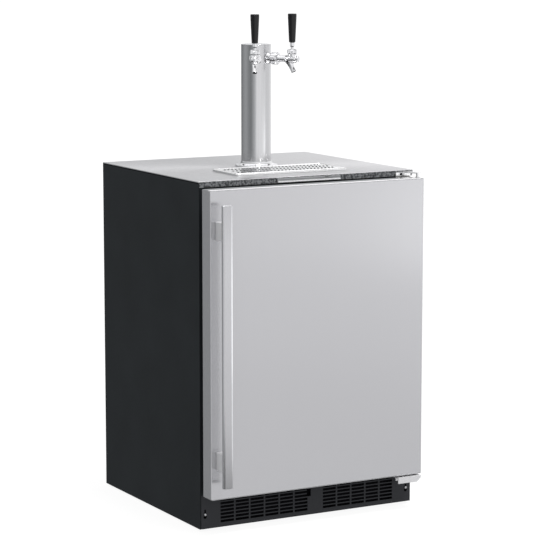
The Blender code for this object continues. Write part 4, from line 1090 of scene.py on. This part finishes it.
def worktop_edges():
    """The strip on the worktop's front edge, and a bead and, below it, a dark strip of painted shadow
    along each side.
    """
    low = (WORKTOP_LOW.x + 0.5 * MM, WORKTOP_LOW.y - 0.25 * MM, WORKTOP_LOW.z + 0.1 * MM)
    high = (WORKTOP_HIGH.x - 0.5 * MM, WORKTOP_LOW.y + 0.3 * MM, WORKTOP_HIGH.z - 0.25 * MM)
    edge = bevelled(box("worktop_edge", low, high), 0.15 * MM, 2)
    show(edge, "cabinet", "trim", PAINT["strip"])
    for side, outwards in (("left", WORKTOP_LOW.x), ("right", WORKTOP_HIGH.x)):
        inwards = math.copysign(BEAD_IN, -outwards)
        edges = sorted((outwards - inwards / 4, outwards + inwards))
        for name, paint, low, high in (
            ("worktop_bead", "bezel_light", WORKTOP_LOW.z + 0.4 * MM, WORKTOP_HIGH.z + 0.05 * MM),
            # The near-black strip under each side edge is painted shadow in the gap.
            ("worktop_seam", "dark", WORKTOP_LOW.z - 2.4 * MM, WORKTOP_LOW.z + 0.3 * MM),
        ):
            strip = box(
                f"{name}_{side}",
                (edges[0], WORKTOP_LOW.y + 3 * MM, low),
                (edges[1], WORKTOP_HIGH.y - 3 * MM, high),
            )
            show(bevelled(strip, 0.15 * MM, 2), "cabinet", "steel", PAINT[paint])


def inlet_pins():
    """Three flat pins inside the power inlet."""
    for number in range(3):
        x = INLET_MID.x + (number - 1) * PIN_PITCH
        low = (x - 1 * MM, INLET_LOW.y + 10 * MM, INLET_MID.z - 2 * MM)
        high = (x + 1 * MM, INLET_HIGH.y - 3 * MM, INLET_MID.z + 2 * MM)
        pin = bevelled(box(f"inlet_pin_{number}", low, high), 0.3 * MM, 2)
        show(pin, "cabinet", "zinc", PAINT["zinc"])


SOFT_EDGES = {
    "side_panel_left": 0.4 * MM,
    "side_panel_right": 0.4 * MM,
    "back_panel": 0.4 * MM,
    "kick_grille": 0.35 * MM,
    "control_bezel": 0.25 * MM,
    "top_hinge_bracket": 0.5 * MM,
    "bottom_hinge_bracket": 0.6 * MM,
    "evaporator_cover": 0.8 * MM,
}


def cad_paint():
    """Paints every CAD node by its material slot, and softens the edges of those seen close."""
    for entry in frame["record"]["subparts"]:
        paint_node(entry["node"], PAINT[entry["material_slot"]])
    paint_node("front_trim", PAINT["strip"])
    paint_node("temperature_key_down", PAINT["bezel"])
    paint_node("temperature_key_up", PAINT["bezel"])
    for node, width in SOFT_EDGES.items():
        softened(node, width)


bpy.context.scene.view_settings.view_transform = "Standard"
camera()
studio()
floor()
cad_paint()
tower()
for faucet_side in FAUCET_SIDES:
    faucet(faucet_side)
drip_tray()
door()
front_details()
inlet_pins()
accents()

bpy.context.view_layer.update()
